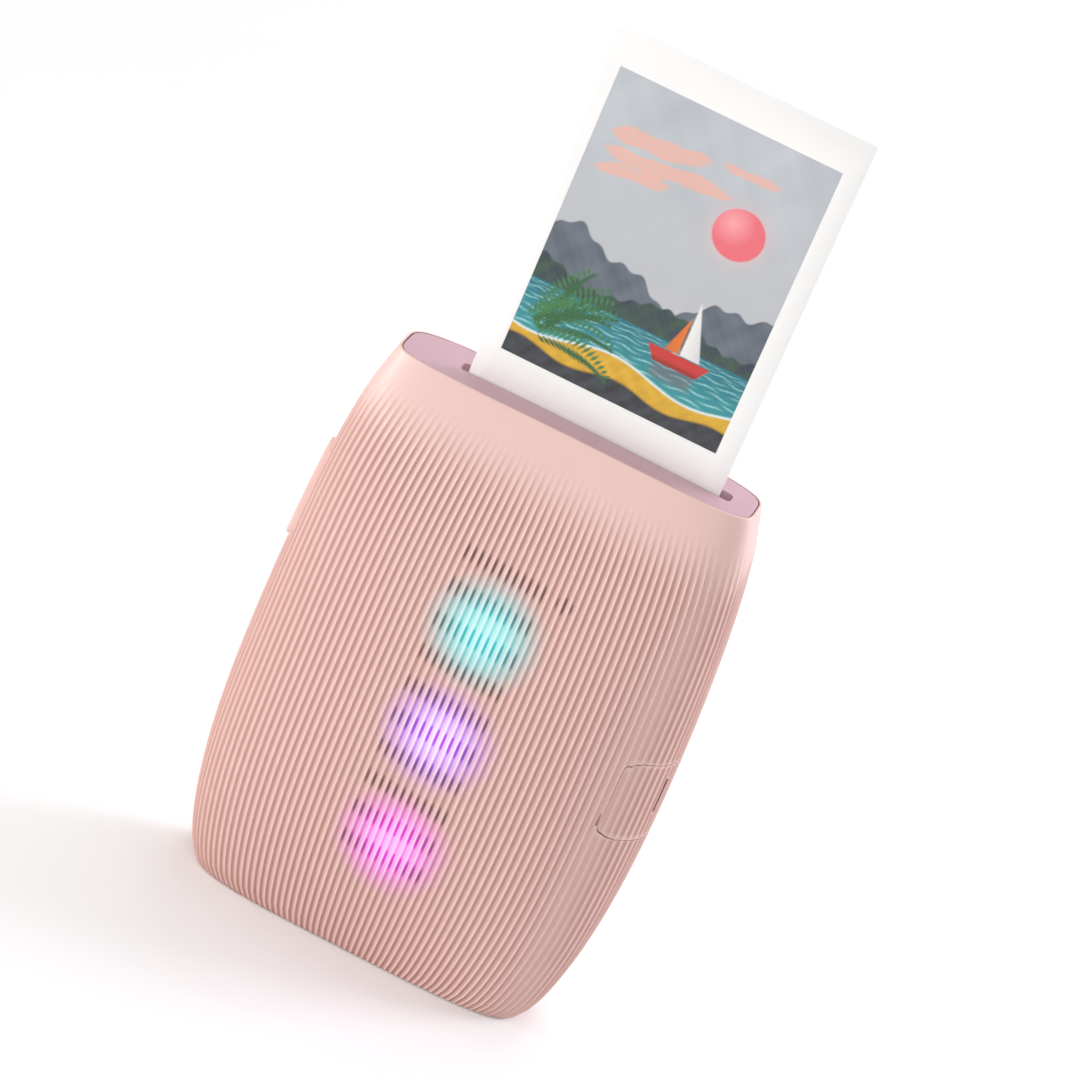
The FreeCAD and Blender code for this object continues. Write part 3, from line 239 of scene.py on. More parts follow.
@dataclass(frozen=True)
class Metal(Finish):
    """Rolled or turned metal with fine draw lines along one direction."""

    colour: str
    roughness: float = 0.3
    line_mm: float = 0.12
    stretch: tuple[float, float, float] = (1.0, 1.0, 0.05)

    def values(self, nodes: Nodes, place: Any) -> dict:
        """Draw lines in the gloss and in the surface.

        Args:
            nodes: The material's nodes.
            place: Socket with the object coordinates.

        Returns:
            Shader values and the sockets that feed it.
        """
        drawn = nodes.out("Mapping", "Vector", {"Vector": place, "Scale": self.stretch})
        lines = nodes.noise(drawn, self.line_mm)
        return {"Base Color": linear(self.colour), "Metallic": 1.0, "Normal": nodes.bump(lines, 0.004, 0.25),
                "Roughness": nodes.out("MapRange", "Result", {"Value": lines, "To Min": self.roughness * 0.8,
                                                              "To Max": self.roughness * 1.25})}


@dataclass(frozen=True)
class Foam(Finish):
    """Open-cell foam or felt: matt, dark and pitted."""

    colour: str
    cell_mm: float = 0.35

    def values(self, nodes: Nodes, place: Any) -> dict:
        """Pits of the size of one cell.

        Args:
            nodes: The material's nodes.
            place: Socket with the object coordinates.

        Returns:
            Shader values and the sockets that feed it.
        """
        cells = nodes.out("TexVoronoi", "Distance", {"Vector": place, "Scale": 1 / (self.cell_mm * MM)})
        return {"Base Color": linear(self.colour), "Roughness": 0.95, "Sheen Weight": 0.2,
                "Normal": nodes.bump(cells, 0.08, 0.8)}


@dataclass(frozen=True)
class Clear(Finish):
    """Clear moulded window or rod lens."""

    colour: str
    roughness: float = 0.05

    def values(self, nodes: Nodes, place: Any) -> dict:
        """Tinted clear plastic."""
        return {"Base Color": linear(self.colour), "Roughness": self.roughness, "IOR": 1.49,
                "Transmission Weight": 0.85}


@dataclass(frozen=True)
class CircuitBoard(Finish):
    """Glass-fibre board with solder mask: green gloss with a faint copper trace pattern."""

    mask: str = "1E6B45"
    trace: str = "2C8055"
    trace_mm: float = 1.2

    def values(self, nodes: Nodes, place: Any) -> dict:
        """Traces at the borders of square cells.

        Args:
            nodes: The material's nodes.
            place: Socket with the object coordinates.

        Returns:
            Shader values and the sockets that feed it.
        """
        cells = nodes.out("TexVoronoi", "Distance", {"distance": "CHEBYCHEV", "feature": "F1",
                                                     "Vector": place, "Scale": 1 / (self.trace_mm * MM)})
        border = nodes.out("MapRange", "Result", {"Value": cells, "From Min": 0.38, "From Max": 0.42})
        return {"Base Color": nodes.mixed(linear(self.mask), linear(self.trace), border), "Roughness": 0.35}


@dataclass(frozen=True)
class PaintedPicture(Finish):
    """Glossy instant picture: colours lie in the mesh's paint attribute under a clear film."""

    wave_mm: float = 3.0

    def values(self, nodes: Nodes, place: Any) -> dict:
        """Painted colours under a slightly wavy film.

        Args:
            nodes: The material's nodes.
            place: Socket with the object coordinates.

        Returns:
            Shader values and the sockets that feed it.
        """
        return {"Base Color": nodes.out("Attribute", "Color", {"attribute_name": "paint"}), "Roughness": 0.28,
                "IOR": 1.5, "Coat Weight": 0.3, "Coat Roughness": 0.1,
                "Normal": nodes.grain(place, self.wave_mm, 0.01, 0.3)}


@dataclass(frozen=True)
class FloorPaper(Finish):
    """White paper that glows for the camera.

    The lamps don't reach the far floor, so it glows more there and keeps the shadow near the printer.
    """

    near_glow: float = 0.12
    far_glow: float = 0.66
    rise_from: float = 0.35
    rise_to: float = 1.3

    def values(self, nodes: Nodes, place: Any) -> dict:
        """Glow that rises with the distance in metres.

        Args:
            nodes: The material's nodes.
            place: Socket with the object coordinates.

        Returns:
            Shader values and the sockets that feed it.
        """
        rise = nodes.out("MapRange", "Result", {
            "interpolation_type": "SMOOTHSTEP", "From Min": self.rise_from, "From Max": self.rise_to,
            "To Min": self.near_glow, "To Max": self.far_glow,
            "Value": nodes.out("VectorMath", "Value", {"operation": "LENGTH", 0: place})})
        return {"Base Color": (0.9, 0.9, 0.9, 1.0), "Roughness": 0.9, "Emission Color": WHITE,
                "Emission Strength": nodes.times(nodes.out("LightPath", "Is Camera Ray"), rise)}


@dataclass(frozen=True)
class LightSpot:
    """One round light behind the front wall: its height, and its colours on the ribs and between them."""

    height: float
    crest: str
    groove: str
    centre: float = 0.6


@dataclass(frozen=True)
class RibbedPlastic(Finish):
    """Matt pink ABS, moulded with fine upright ribs: soft sheen, and light that shines through in spots."""

    colour: str
    tint: str
    # Colour of the painted shade in the grooves and on each rib's side away from the key lamp
    hollow: str
    # Colour of the painted shade on the walls of gaps and slits
    seam: str
    spots: tuple[LightSpot, ...]
    roughness: float = 0.42
    flow_mm: float = 45.0
    grain_mm: float = 0.22
    groove_shade: float = 0.34
    lean_shade: float = 0.42
    front_mm: tuple[float, float] = (-9.0, -12.0)
    halo_mm: tuple[float, float] = (14.2, 2.5)
    core_mm: tuple[float, float] = (10.5, 0.5)
    lamp_body: str = "1B2A2C"
    dash_colour: str = "46292B"
    dash_pitch_mm: float = 7.6
    dash_top_mm: float = 95.0
    dash_slope: float = 0.06
    dash_open: tuple[float, float] = (-0.5, 0.95)
    pair_mm: tuple[float, float] = (12.8, 94.2)
    pair_edge_mm: tuple[float, float] = (2.3, 1.2)
    sides_mm: tuple[float, float] = (-10.4, 9.8)
    side_blend_mm: float = 1.6
    bottom_mm: tuple[float, float] = (22.5, 24.5)
    top_mm: tuple[float, float] = (98.2, 96.7)
    dash_shade: float = 0.74
    dash_dim: float = 0.62
    lamp_shade: float = 0.92
    pale: float = 0.34
    pale_crest: float = 0.5
    pale_core: float = 0.45
    full_flank: float = 0.36
    full_dash: float = 0.9

    def values(self, nodes: Nodes, place: Any) -> dict:
        """Painted shade in the ribs and in the seams, and lit spots.

        Args:
            nodes: The material's nodes.
            place: Socket with the object coordinates.

        Returns:
            Shader values and the sockets that feed it.
        """
        groove, lean = nodes.named("groove"), nodes.named("lean")
        # Painted shade: the flutes are darker at the bottom of each groove and on the side that turns from
        # the key lamp
        shade = nodes.math("ADD", nodes.times(groove, self.groove_shade),
                           nodes.times(nodes.ramp(lean, -0.2, 0.9), self.lean_shade))
        body = nodes.drift(place, self.flow_mm, self.colour, self.tint)
        body = nodes.mixed(body, linear(self.hollow), shade)
        # Painted shade on the walls of the gaps and slits that were cut with a seam share
        body = nodes.mixed(body, linear(self.seam), nodes.named("inside"))
        body, glow = self._lit(nodes, place, body, groove, lean)
        return {"Base Color": body, "Roughness": self.roughness, "IOR": 1.53, "Specular IOR Level": 0.4,
                "Emission Color": glow, "Emission Strength": 1.0,
                "Normal": nodes.grain(place, self.grain_mm, 0.004)}

    def _dashes(self, nodes: Nodes, x: Any, z: Any, flat: Any) -> Any:
        """Rows of short dark dashes of the lamp carrier, and the pair beside them.

        Args:
            nodes: The material's nodes.
            x: Socket with the place across the front.
            z: Socket with the height.
            flat: Socket with both.

        Returns:
            Socket that is open on the dashes.
        """
        (left, right), blend = self.sides_mm, self.side_blend_mm
        level = nodes.math("ADD", z, nodes.times(x, self.dash_slope))
        turn = nodes.times(nodes.math("SUBTRACT", level, self.dash_top_mm * MM),
                           2 * math.pi / (self.dash_pitch_mm * MM))
        rows = nodes.ramp(nodes.math("COSINE", turn), *self.dash_open)
        frame = nodes.times(nodes.ramp(x, left * MM, (left + blend) * MM),
                            nodes.ramp(x, right * MM, (right - blend) * MM),
                            nodes.ramp(z, *(end * MM for end in self.bottom_mm)),
                            nodes.ramp(z, *(end * MM for end in self.top_mm)))
        pair = nodes.ramp(nodes.distance(flat, *self.pair_mm), *(end * MM for end in self.pair_edge_mm))
        return nodes.math("MAXIMUM", nodes.times(rows, frame), pair)

    def _lit(self, nodes: Nodes, place: Any, body: Any, groove: Any, lean: Any) -> tuple[Any, Any]:
        """Lay the lights and the dark dashes of their carrier over the plastic.

        Args:
            nodes: The material's nodes.
            place: Socket with the object coordinates.
            body: Socket with the plastic's colour.
            groove: Socket with the depth across a rib.
            lean: Socket that is positive on the side of a rib away from the key lamp.

        Returns:
            Sockets with the base colour and the emitted colour.
        """
        x, y, z = (nodes.out("SeparateXYZ", name, {"Vector": place}) for name in "XYZ")
        flat = nodes.out("CombineXYZ", "Vector", {"X": x, "Z": z})
        front = nodes.ramp(y, *(end * MM for end in self.front_mm))
        # The carrier's dashes are laid only on the flank in painted shade, the side of each rib away from the
        # key lamp, so they are partly painted shade
        shaded_flank = nodes.times(nodes.ramp(lean, -0.1, 0.75), nodes.ramp(groove, 0.15, 0.6))
        dash = nodes.times(self._dashes(nodes, x, z, flat), shaded_flank, front)
        crest = nodes.ramp(groove, 0.8, 0.1)
        glow, cover = None, None
        for spot in self.spots:
            away = nodes.distance(flat, spot.centre, spot.height)
            lit = nodes.times(nodes.ramp(away, *(end * MM for end in self.halo_mm)), front)
            core = nodes.ramp(away, *(end * MM for end in self.core_mm))
            # Crests and the middle are palest, the crests as a painted highlight; the flank that turns from
            # the key lamp and its dashes keep the lamp's full colour as painted shade
            pale = nodes.math("ADD", nodes.times(crest, self.pale_crest), nodes.times(core, self.pale_core))
            pale = nodes.math("SUBTRACT", nodes.math("ADD", pale, self.pale),
                              nodes.times(shaded_flank, self.full_flank))
            pale = nodes.math("SUBTRACT", pale, nodes.times(dash, self.full_dash), True)
            dim = nodes.math("SUBTRACT", 1.0, nodes.times(
                dash, nodes.math("SUBTRACT", self.dash_dim, nodes.times(core, self.dash_dim))))
            shown = nodes.out("VectorMath", "Vector", {
                "operation": "SCALE", 0: nodes.mixed(linear(spot.groove), linear(spot.crest), pale),
                "Scale": nodes.times(lit, dim)})
            if glow is None:
                glow, cover = shown, lit
            else:
                glow = nodes.out("VectorMath", "Vector", {"operation": "ADD", 0: glow, 1: shown})
                cover = nodes.math("MAXIMUM", cover, lit)
        under = nodes.mixed(body, linear(self.lamp_body), nodes.times(cover, self.lamp_shade))
        return nodes.mixed(under, linear(self.dash_colour), nodes.times(dash, self.dash_shade)), glow


# Mesh tools


def only(obj: Any) -> Any:
    """Select one object alone and make it active.

    Args:
        obj: The object.

    Returns:
        The object.
    """
    bpy.ops.object.select_all(action="DESELECT")
    obj.select_set(True)
    bpy.context.view_layer.objects.active = obj
    return obj


def newest(name: str) -> Any:
    """Name the object that was just made, and put its place, turn and size into its mesh.

    Args:
        name: Object name.

    Returns:
        The object.
    """
    obj = only(bpy.context.object)
    obj.name = name
    bpy.ops.object.transform_apply(location=True, rotation=True, scale=True)
    return obj


def copied(obj: Any, name: str) -> Any:
    """Copy an object with its own mesh.

    Args:
        obj: The object.
        name: Name of the copy.

    Returns:
        The copy.
    """
    twin = obj.copy()
    twin.data = obj.data.copy()
    twin.name = name
    bpy.context.scene.collection.objects.link(twin)
    return twin


def use_modifier(obj: Any, kind: str, **settings: Any) -> Any:
    """Add a modifier, set it and apply it.

    Args:
        obj: The object.
        kind: The modifier's type.
        **settings: Its values.

    Returns:
        The object.
    """
    modifier = only(obj).modifiers.new(kind.lower(), kind)
    for name, value in settings.items():
        setattr(modifier, name, value)
    bpy.ops.object.modifier_apply(modifier=modifier.name)
    return obj


def write(mesh: Any, name: str, values: np.ndarray, domain: str = "POINT") -> None:
    """Keep one number for each point or face of a mesh under a name."""
    mesh.attributes.new(name, "FLOAT", domain).data.foreach_set("value", values.astype(np.float32))


def cut(obj: Any, tool: Any, operation: str = "DIFFERENCE", seam: float = 0.0) -> Any:
    """Shape an object with another one, which is used up.

    Args:
        obj: The object to shape.
        tool: The closed shape to use.
        operation: DIFFERENCE, INTERSECT or UNION.
        seam: How much of the painted seam shade the new faces take.

    Returns:
        The object.
    """
    if seam:
        # The tool's faces carry a share of painted shade for the walls of the gap
        write(tool.data, "inside", np.full(len(tool.data.polygons), seam), "FACE")
    use_modifier(obj, "BOOLEAN", object=tool, operation=operation, solver="MANIFOLD")
    bpy.data.objects.remove(tool)
    return obj


def block(name: str, low: tuple, high: tuple, round_mm: float = 0.2) -> Any:
    """Box with rounded edges between two corners.

    Args:
        name: Object name.
        low: Lowest corner.
        high: Highest corner.
        round_mm: Edge radius.

    Returns:
        The new object.
    """
    bpy.ops.object.select_all(action="DESELECT")
    bpy.ops.mesh.primitive_cube_add(size=1, location=[(a + b) / 2 * MM for a, b in zip(low, high)],
                                    scale=[(b - a) * MM for a, b in zip(low, high)])
    obj = newest(name)
    if round_mm:
        use_modifier(obj, "BEVEL", width=round_mm * MM, segments=2, limit_method="NONE")
    return obj


def rod(name: str, axis: Axis, centre: tuple, radius: float, start: float, end: float, sides: int,
        round_mm: float = 0.0) -> Any:
    """Round bar along one axis.

    Args:
        name: Object name.
        axis: Direction of the bar.
        centre: The other two coordinates, in axis order.
        radius: Bar radius.
        start: Where it begins along the axis.
        end: Where it ends.
        sides: Faces round the bar.
        round_mm: Radius of its end edges.

    Returns:
        The new object.
    """
    place = list(centre)
    place.insert(axis.value, (start + end) / 2)
    turn = {Axis.X: (0, math.pi / 2, 0), Axis.Y: (math.pi / 2, 0, 0), Axis.Z: (0, 0, 0)}[axis]
    bpy.ops.object.select_all(action="DESELECT")
    bpy.ops.mesh.primitive_cylinder_add(vertices=sides, radius=radius * MM, depth=abs(end - start) * MM,
                                        location=[v * MM for v in place], rotation=turn)
    obj = newest(name)
    if round_mm:
        use_modifier(obj, "BEVEL", width=round_mm * MM, segments=2, limit_method="ANGLE")
    return obj


def pill(name: str, low: tuple, high: tuple, axis: Axis, radius: float) -> Any:
    """Box whose four edges along one axis are rounded.

    Args:
        name: Object name.
        low: Lowest corner.
        high: Highest corner.
        axis: Direction of the rounded edges.
        radius: Their radius.

    Returns:
        The new object.
    """
    obj = only(block(name, low, high, 0))
    bpy.ops.object.mode_set(mode="EDIT")
    mesh = bmesh.from_edit_mesh(obj.data)
    for edge in mesh.edges:
        along = edge.verts[1].co - edge.verts[0].co
        edge.select_set(abs(along[axis.value]) > 0.9 * along.length)
    bmesh.update_edit_mesh(obj.data)
    bpy.ops.mesh.bevel(offset=radius * MM, segments=10, affect="EDGES")
    bpy.ops.object.mode_set(mode="OBJECT")
    return obj


def grid(name: str, across: int, down: int) -> tuple[Any, np.ndarray, np.ndarray]:
    """Flat grid whose points are moved afterwards.

    Args:
        name: Object name.
        across: Faces across it.
        down: Faces down it.

    Returns:
        The new object, and how far each point lies across and down the grid, from 0 to 1.
    """
    bpy.ops.object.select_all(action="DESELECT")
    bpy.ops.mesh.primitive_grid_add(x_subdivisions=across, y_subdivisions=down, size=2)
    obj = newest(name)
    flat = np.empty(len(obj.data.vertices) * 3)
    obj.data.vertices.foreach_get("co", flat)
    return obj, (flat[0::3] + 1) / 2, (flat[1::3] + 1) / 2


def rolled(name: str, points: np.ndarray, values: dict[str, np.ndarray]) -> Any:
    """Roll a grid up into the given rings and close its ends.

    Args:
        name: Object name.
        points: Rings of points.
        values: Numbers of each point by attribute name.

    Returns:
        The new object.
    """
    rings, columns = points.shape[:2]
    obj, across, down = grid(name, columns, rings - 1)
    column = np.rint(across * columns).astype(int) % columns
    ring = np.rint(down * (rings - 1)).astype(int)
    obj.data.vertices.foreach_set("co", (points[ring, column] * MM).reshape(-1))
    for title, numbers in values.items():
        write(obj.data, title, numbers[ring, column])
    bpy.ops.object.mode_set(mode="EDIT")
    bpy.ops.mesh.select_all(action="SELECT")
    bpy.ops.mesh.remove_doubles(threshold=1e-7)
    bpy.ops.mesh.select_all(action="DESELECT")
    bpy.ops.mesh.select_mode(type="EDGE")
    bpy.ops.mesh.select_non_manifold()
    bpy.ops.mesh.fill_holes(sides=0)
    bpy.ops.mesh.select_all(action="SELECT")
    bpy.ops.mesh.normals_make_consistent(inside=False)
    bpy.ops.object.mode_set(mode="OBJECT")
    return obj


def between(obj: Any, front: float, back: float) -> Any:
    """Keep the part of an object between two depths, closed again."""
    return cut(obj, block("half", (-90, front, -20), (90, back, 220), 0), "INTERSECT")


def finish(name: str, parts: list, material: Any, body: str, slot: str, node: str,
           degrees: float = 30.0) -> None:
    """Make one smooth piece of its parts, and give it its material, its body and the node it stands for.

    Args:
        name: Name of the piece.
        parts: Its objects; the first one leads.
        material: Its material.
        body: The body that it rides on.
        slot: The record's material slot; not used.
        node: Node that it replaces.
        degrees: Edges that are sharper than this stay sharp.
    """
    piece = only(parts[0])
    if len(parts) > 1:
        for part in parts[1:]:
            part.select_set(True)
        bpy.ops.object.join()
    piece.name = name
    only(piece)
    bpy.ops.object.shade_smooth_by_angle(angle=math.radians(degrees))
    piece.data.materials.clear()
    piece.data.materials.append(material)
    for face in piece.data.polygons:
        face.material_index = 0
    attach(piece, body)
    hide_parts(node)
    LOG.info("%s: %d faces on %s", name, len(piece.data.polygons), body)


# Casing


@dataclass
class BarrelForm:
    """The ribbed barrel: a superellipse whose size, squareness and place change with the height.

    A station holds shares of the height, the width and the depth, the squareness, the shift and the share of
    the flutes.
    """

    level: Level
    width: float = 90.24
    depth: float = 34.54
    height: float = 124.5
    wall: float = 1.5
    floor: float = 1.6
    crown: float = 0.76
    crown_start: float = 100.0
    flutes: int = 132
    flute_depth: float = 0.28
    plain_columns: int = 360
    outline_points: int = 8001
    foot: tuple = ((0.0, 0.35, 1.0), (0.10, 0.10, 1.0), (0.35, 0.0, 1.0))
    first_row: float = 0.9
    last_row: float = 0.5
    row_bias: float = 0.97
    rim: float = 0.40
    rim_round: float = 0.22
    seat: float = 1.5
    # The side of each rib that takes painted shade flips at this x, where the fill lamp takes over from the
    # key lamp
    lean_turn: float = 36.5
    lean_blend: float = 5.0
    stations: tuple = (
        (0.000, 0.807, 0.601, 3.61, 0.000, 1.00), (0.010, 0.830, 0.647, 3.56, 0.000, 1.00),
        (0.032, 0.866, 0.697, 3.45, 0.000, 1.00), (0.080, 0.911, 0.765, 3.23, 0.000, 1.00),
        (0.161, 0.956, 0.860, 2.93, 0.000, 1.00), (0.281, 0.990, 0.954, 2.61, 0.000, 1.00),
        (0.450, 1.000, 1.000, 2.43, 0.000, 1.00), (0.602, 0.989, 0.968, 2.58, -0.017, 1.00),
        (0.763, 0.960, 0.849, 3.11, -0.035, 1.00), (0.867, 0.927, 0.723, 3.66, -0.048, 0.85),
        (0.932, 0.894, 0.625, 4.08, -0.055, 0.12), (1.000, 0.841, 0.505, 4.59, -0.063, 0.00))

    def row(self, z: float) -> np.ndarray:
        """Section values on a smooth curve through the stations.

        Args:
            z: Height.

        Returns:
            Width, depth, squareness, shift and share of the flutes.
        """
        table = np.array(self.stations)
        knots, values = table[:, 0], table[:, 1:]
        gaps = np.diff(knots)
        count = len(knots)
        matrix = np.eye(count)
        rates = np.zeros_like(values)
        for k in range(1, count - 1):
            matrix[k, k - 1:k + 2] = gaps[k - 1], 2 * (gaps[k - 1] + gaps[k]), gaps[k]
            rates[k] = 6 * ((values[k + 1] - values[k]) / gaps[k] - (values[k] - values[k - 1]) / gaps[k - 1])
        bend = np.linalg.solve(matrix, rates)
        share = min(max(z / self.height, 0.0), 1.0)
        k = min(int(np.searchsorted(knots, share, side="right")) - 1, count - 2)
        h = gaps[k]
        a, b = (knots[k + 1] - share) / h, (share - knots[k]) / h
        out = (a * values[k] + b * values[k + 1]
               + ((a ** 3 - a) * bend[k] + (b ** 3 - b) * bend[k + 1]) * h * h / 6)
        out[4] = min(max(out[4], 0.0), 1.0)
        return out

    def outline(self, z: float, inset: float, columns: int) -> tuple[np.ndarray, np.ndarray]:
        """Points at equal steps round the section.

        Args:
            z: Height.
            inset: How far inside the crests.
            columns: Number of points.

        Returns:
            The x and the y values.
        """
        wide, deep, square, shift, _ = self.row(z)
        angle = np.linspace(0, 2 * math.pi, self.outline_points)
        c, s = np.cos(angle), np.sin(angle)
        power = 2 / square
        x = (self.width / 2 * wide - inset) * np.sign(c) * np.abs(c) ** power
        y = self.depth / 2 * shift + (self.depth / 2 * deep - inset) * np.sign(s) * np.abs(s) ** power
        length = np.concatenate(([0], np.cumsum(np.hypot(np.diff(x), np.diff(y)))))
        goal = length[-1] * np.arange(columns) / columns
        return np.interp(goal, length, x), np.interp(goal, length, y)

    def profile(self, hollow: bool) -> list[tuple[float, float, float]]:
        """Path of one column from the base up the outside, and down again to the floor where it is hollow.

        Args:
            hollow: Whether there is an inner wall.

        Returns:
            Height, inset and share of the flute of each row.
        """
        rows = self.level.value[1]
        top, seat, skin = self.height, self.height - self.seat, self.wall + self.flute_depth
        low, high = self.first_row, top - self.last_row
        path = list(self.foot)
        path += [(low + (high - low) * (k / rows) ** self.row_bias, 0.0, 1.0) for k in range(rows + 1)]
        path += [(top - self.rim_round, 0.0, 1.0), (top - 0.06, 0.06, 1.0), (top, self.rim_round, 1.0)]
        if hollow:
            inner = max(rows // 4, 8)
            path += [(top, self.rim, 0.0), (seat, self.rim, 0.0), (seat, skin + 0.02, 0.0)]
            path += [(seat - (seat - self.floor - 0.2) * k / inner, skin, 0.0) for k in range(1, inner + 1)]
            path += [(self.floor, skin + 0.5, 0.0)]
        return path

    def solid(self, name: str, hollow: bool = False) -> Any:
        """The ribbed casing as one closed mesh.

        Args:
            name: Object name.
            hollow: Whether it has an inner wall and is open at the top.

        Returns:
            The new object, with the depth and the lean of each rib's faces in its attributes; the lean steers
            painted shade.
        """
        steps = self.level.value[0]
        phase = (np.arange(self.flutes * steps) % steps) / steps
        return self._shaped(name, hollow, 0.0, 1 - np.abs(phase * 2 - 1) ** 2, np.sin(2 * math.pi * phase))

    def plain(self, name: str, grow: float) -> Any:
        """The casing as one closed mesh without ribs, grown outwards."""
        return self._shaped(name, False, grow, np.zeros(self.plain_columns), np.zeros(self.plain_columns))

    def _shaped(self, name: str, hollow: bool, grow: float, scallop: np.ndarray, side: np.ndarray) -> Any:
        """Lay the rows of a casing's mesh.

        Args:
            name: Object name.
            hollow: Whether it has an inner wall and is open at the top.
            grow: How far outside the crests the outer face lies.
            scallop: Depth of the flutes at each column, as a share.
            side: How far each column's face turns to either side.

        Returns:
            The new object.
        """
        points, groove, lean = [], [], []
        columns, half, step = len(scallop), self.width / 2, 0.5
        for z, inset, share in self.profile(hollow):
            x, y = self.outline(z, inset - grow, columns)
            rise = min(max((z - self.crown_start) / (self.height - self.crown_start), 0), 1)
            sag = self.crown * (x / half) ** 2 * rise ** 2
            if inset < self.wall + self.flute_depth and sag.max() > 0:
                x2, y2 = self.outline(z - step, inset - grow, columns)
                x, y = x + (x2 - x) * sag / step, y + (y2 - y) * sag / step
            tangent = np.stack((np.roll(x, -1) - np.roll(x, 1), np.roll(y, -1) - np.roll(y, 1)))
            tangent /= np.hypot(*tangent)
            share *= self.row(z)[4]
            depth = self.flute_depth * scallop * share
            points.append(np.stack((x - tangent[1] * depth, y + tangent[0] * depth, z - sag), axis=1))
            groove.append(scallop * share)
            # The lean steers painted shade: it marks each rib's side away from the key lamp, and flips beyond
            # lean_turn where the fill lamp lights the ribs
            lean.append(side * share * np.clip((self.lean_turn - x) / self.lean_blend, -1.0, 1.0))
        return rolled(name, np.array(points), {"groove": np.array(groove), "lean": np.array(lean)})


@dataclass
class Casing:
    """Front shell, rear shell, film door and latch."""

    form: BarrelForm
    pink: Any
    parting: float = 5.0
    far: float = 60.0
    # Share of painted shade on the walls of the latch's gap
    seam_shade_share: float = 0.7
    ledges: tuple = (("ledge", (42.0, 3.0, 66.2), (43.2, 4.4, 71.2)),
                     ("ledge", (42.2, 3.0, 47.9), (43.4, 4.4, 52.9)))
    latch_front: float = -12.0
    latch_span: tuple[float, float] = (50.3, 68.8)
    latch_corner: float = 2.6
    latch_gap: float = 0.15
    latch_start: float = 34.9
    latch_travel: float = 1.4
    notch_back: float = 28.0
    panel_back: float = 48.0
    slit: tuple = ((43.6, -4.4, 56.85), (60.0, -3.6, 64.95))
    latch_bars: tuple = (("hook", (41.4, 1.6, 48.7), (42.9, 2.6, 70.4), 0.15),
                         ("web", (37.0, 0.8, 55.0), (38.8, 7.6, 64.0), 0.25),
                         ("bridge", (37.0, 0.8, 56.2), (43.4, 2.6, 62.8), 0.2))
    button_hole: tuple = ((-60.0, -5.85, 75.65), (-36.0, 1.45, 98.35))
    button_corner: float = 3.64
    socket_hole: tuple = ((-60.0, -3.1, 30.3), (-40.0, 0.6, 39.7))
    socket_corner: float = 1.84
    hinge: tuple[float, float] = (-34.5, 9.8)
    nose: float = 3.6
    nose_gap: float = 0.3
    nose_sides: int = 96
    knuckles: tuple[float, float, int] = (26.0, 88.0, 5)
    knuckle_radius: float = 2.0
    knuckle_gap: float = 0.25
    arm_start: float = -39.2
    arm_reach: float = 1.2
    rear_bars: tuple = (("lip", (-22.0, 6.5, 103.4), (28.0, 8.0, 108.7), 0.2),
                        ("shelf", (-22.0, 6.6, 107.5), (28.0, 10.5, 108.7), 0.1),
                        ("lip", (-22.0, 6.5, 6.8), (28.0, 8.0, 10.1), 0.2),
                        ("shelf", (-22.0, 6.6, 6.8), (28.0, 10.5, 8.0), 0.1))
    door_low: float = 8.0
    door_high: float = 107.5
    door_gap: float = 0.3
    window_hole: tuple = ((-0.3, 8.0, 50.0), (6.7, 40.0, 66.0))
    window_corner: float = 2.4
    door_bars: tuple = (((-28.5, 9.3, 10.3), (-27.3, 20, 104.4)), ((33.7, 9.3, 10.3), (34.9, 20, 104.4)),
                        ((-28.5, 9.3, 10.3), (34.9, 20, 11.5)), ((-28.5, 9.3, 103.2), (34.9, 20, 104.4)),
                        ((35.6, 5.6, 64.3), (45, 7.9, 65.5)), ((35.6, 5.6, 53.5), (45, 7.9, 54.7)),
                        ((-2.8, 13.0, 28.0), (9.2, 20, 31.0)), ((-2.8, 13.0, 63.0), (9.2, 20, 66.0)))
    door_skin: float = 0.9

    def build(self) -> None:
        """Build and dress the four shells."""
        whole = self.form.solid("casing_blank", hollow=True)
        self._front(copied(whole, "casing_front"))
        self._latch(copied(whole, "latch_panel"))
        self._rear(copied(whole, "casing_rear"))
        self._door(whole)

    def _latch_tool(self, margin: float, back: float, start: float) -> Any:
        """Outline of the latch, grown by a margin and open to the back."""
        return pill("latch_tool", (start, self.latch_front - margin, self.latch_span[0] - margin),
                    (self.far, back, self.latch_span[1] + margin), Axis.X, self.latch_corner)

    def _front(self, shell: Any) -> None:
        """Front shell with the notch of the latch, the button's hole and the socket's hole.

        Args:
            shell: Copy of the whole casing.
        """
        between(shell, -self.far, self.parting)
        notch = self.latch_start - self.latch_travel - 2 * self.latch_gap
        # The notch's walls take painted shade
        cut(shell, self._latch_tool(0, self.notch_back, notch), seam=self.seam_shade_share)
        cut(shell, pill("button_hole", *self.button_hole, Axis.X, self.button_corner))
        cut(shell, pill("socket_hole", *self.socket_hole, Axis.X, self.socket_corner))
        parts = [shell] + [block(*bar) for bar in self.ledges]
        finish("casing_front", parts, self.pink, "housing", "pink_shell", "front_shell")

    def _latch(self, shell: Any) -> None:
        """Latch panel cut out of the same ribbed form, with its hook and spring web.

        Args:
            shell: Copy of the whole casing.
        """
        tool = between(self._latch_tool(-self.latch_gap, self.panel_back, self.latch_start), -self.far,
                       self.parting - self.latch_gap)
        # The panel's cut edges take painted shade
        cut(shell, tool, "INTERSECT", self.seam_shade_share)
        # The slit's walls take the full painted shade
        cut(shell, block("slit", *self.slit, 0), seam=1.0)
        parts = [shell] + [block(*bar) for bar in self.latch_bars]
        finish("latch_panel", parts, self.pink, "latch", "pink_shell", "door_latch")

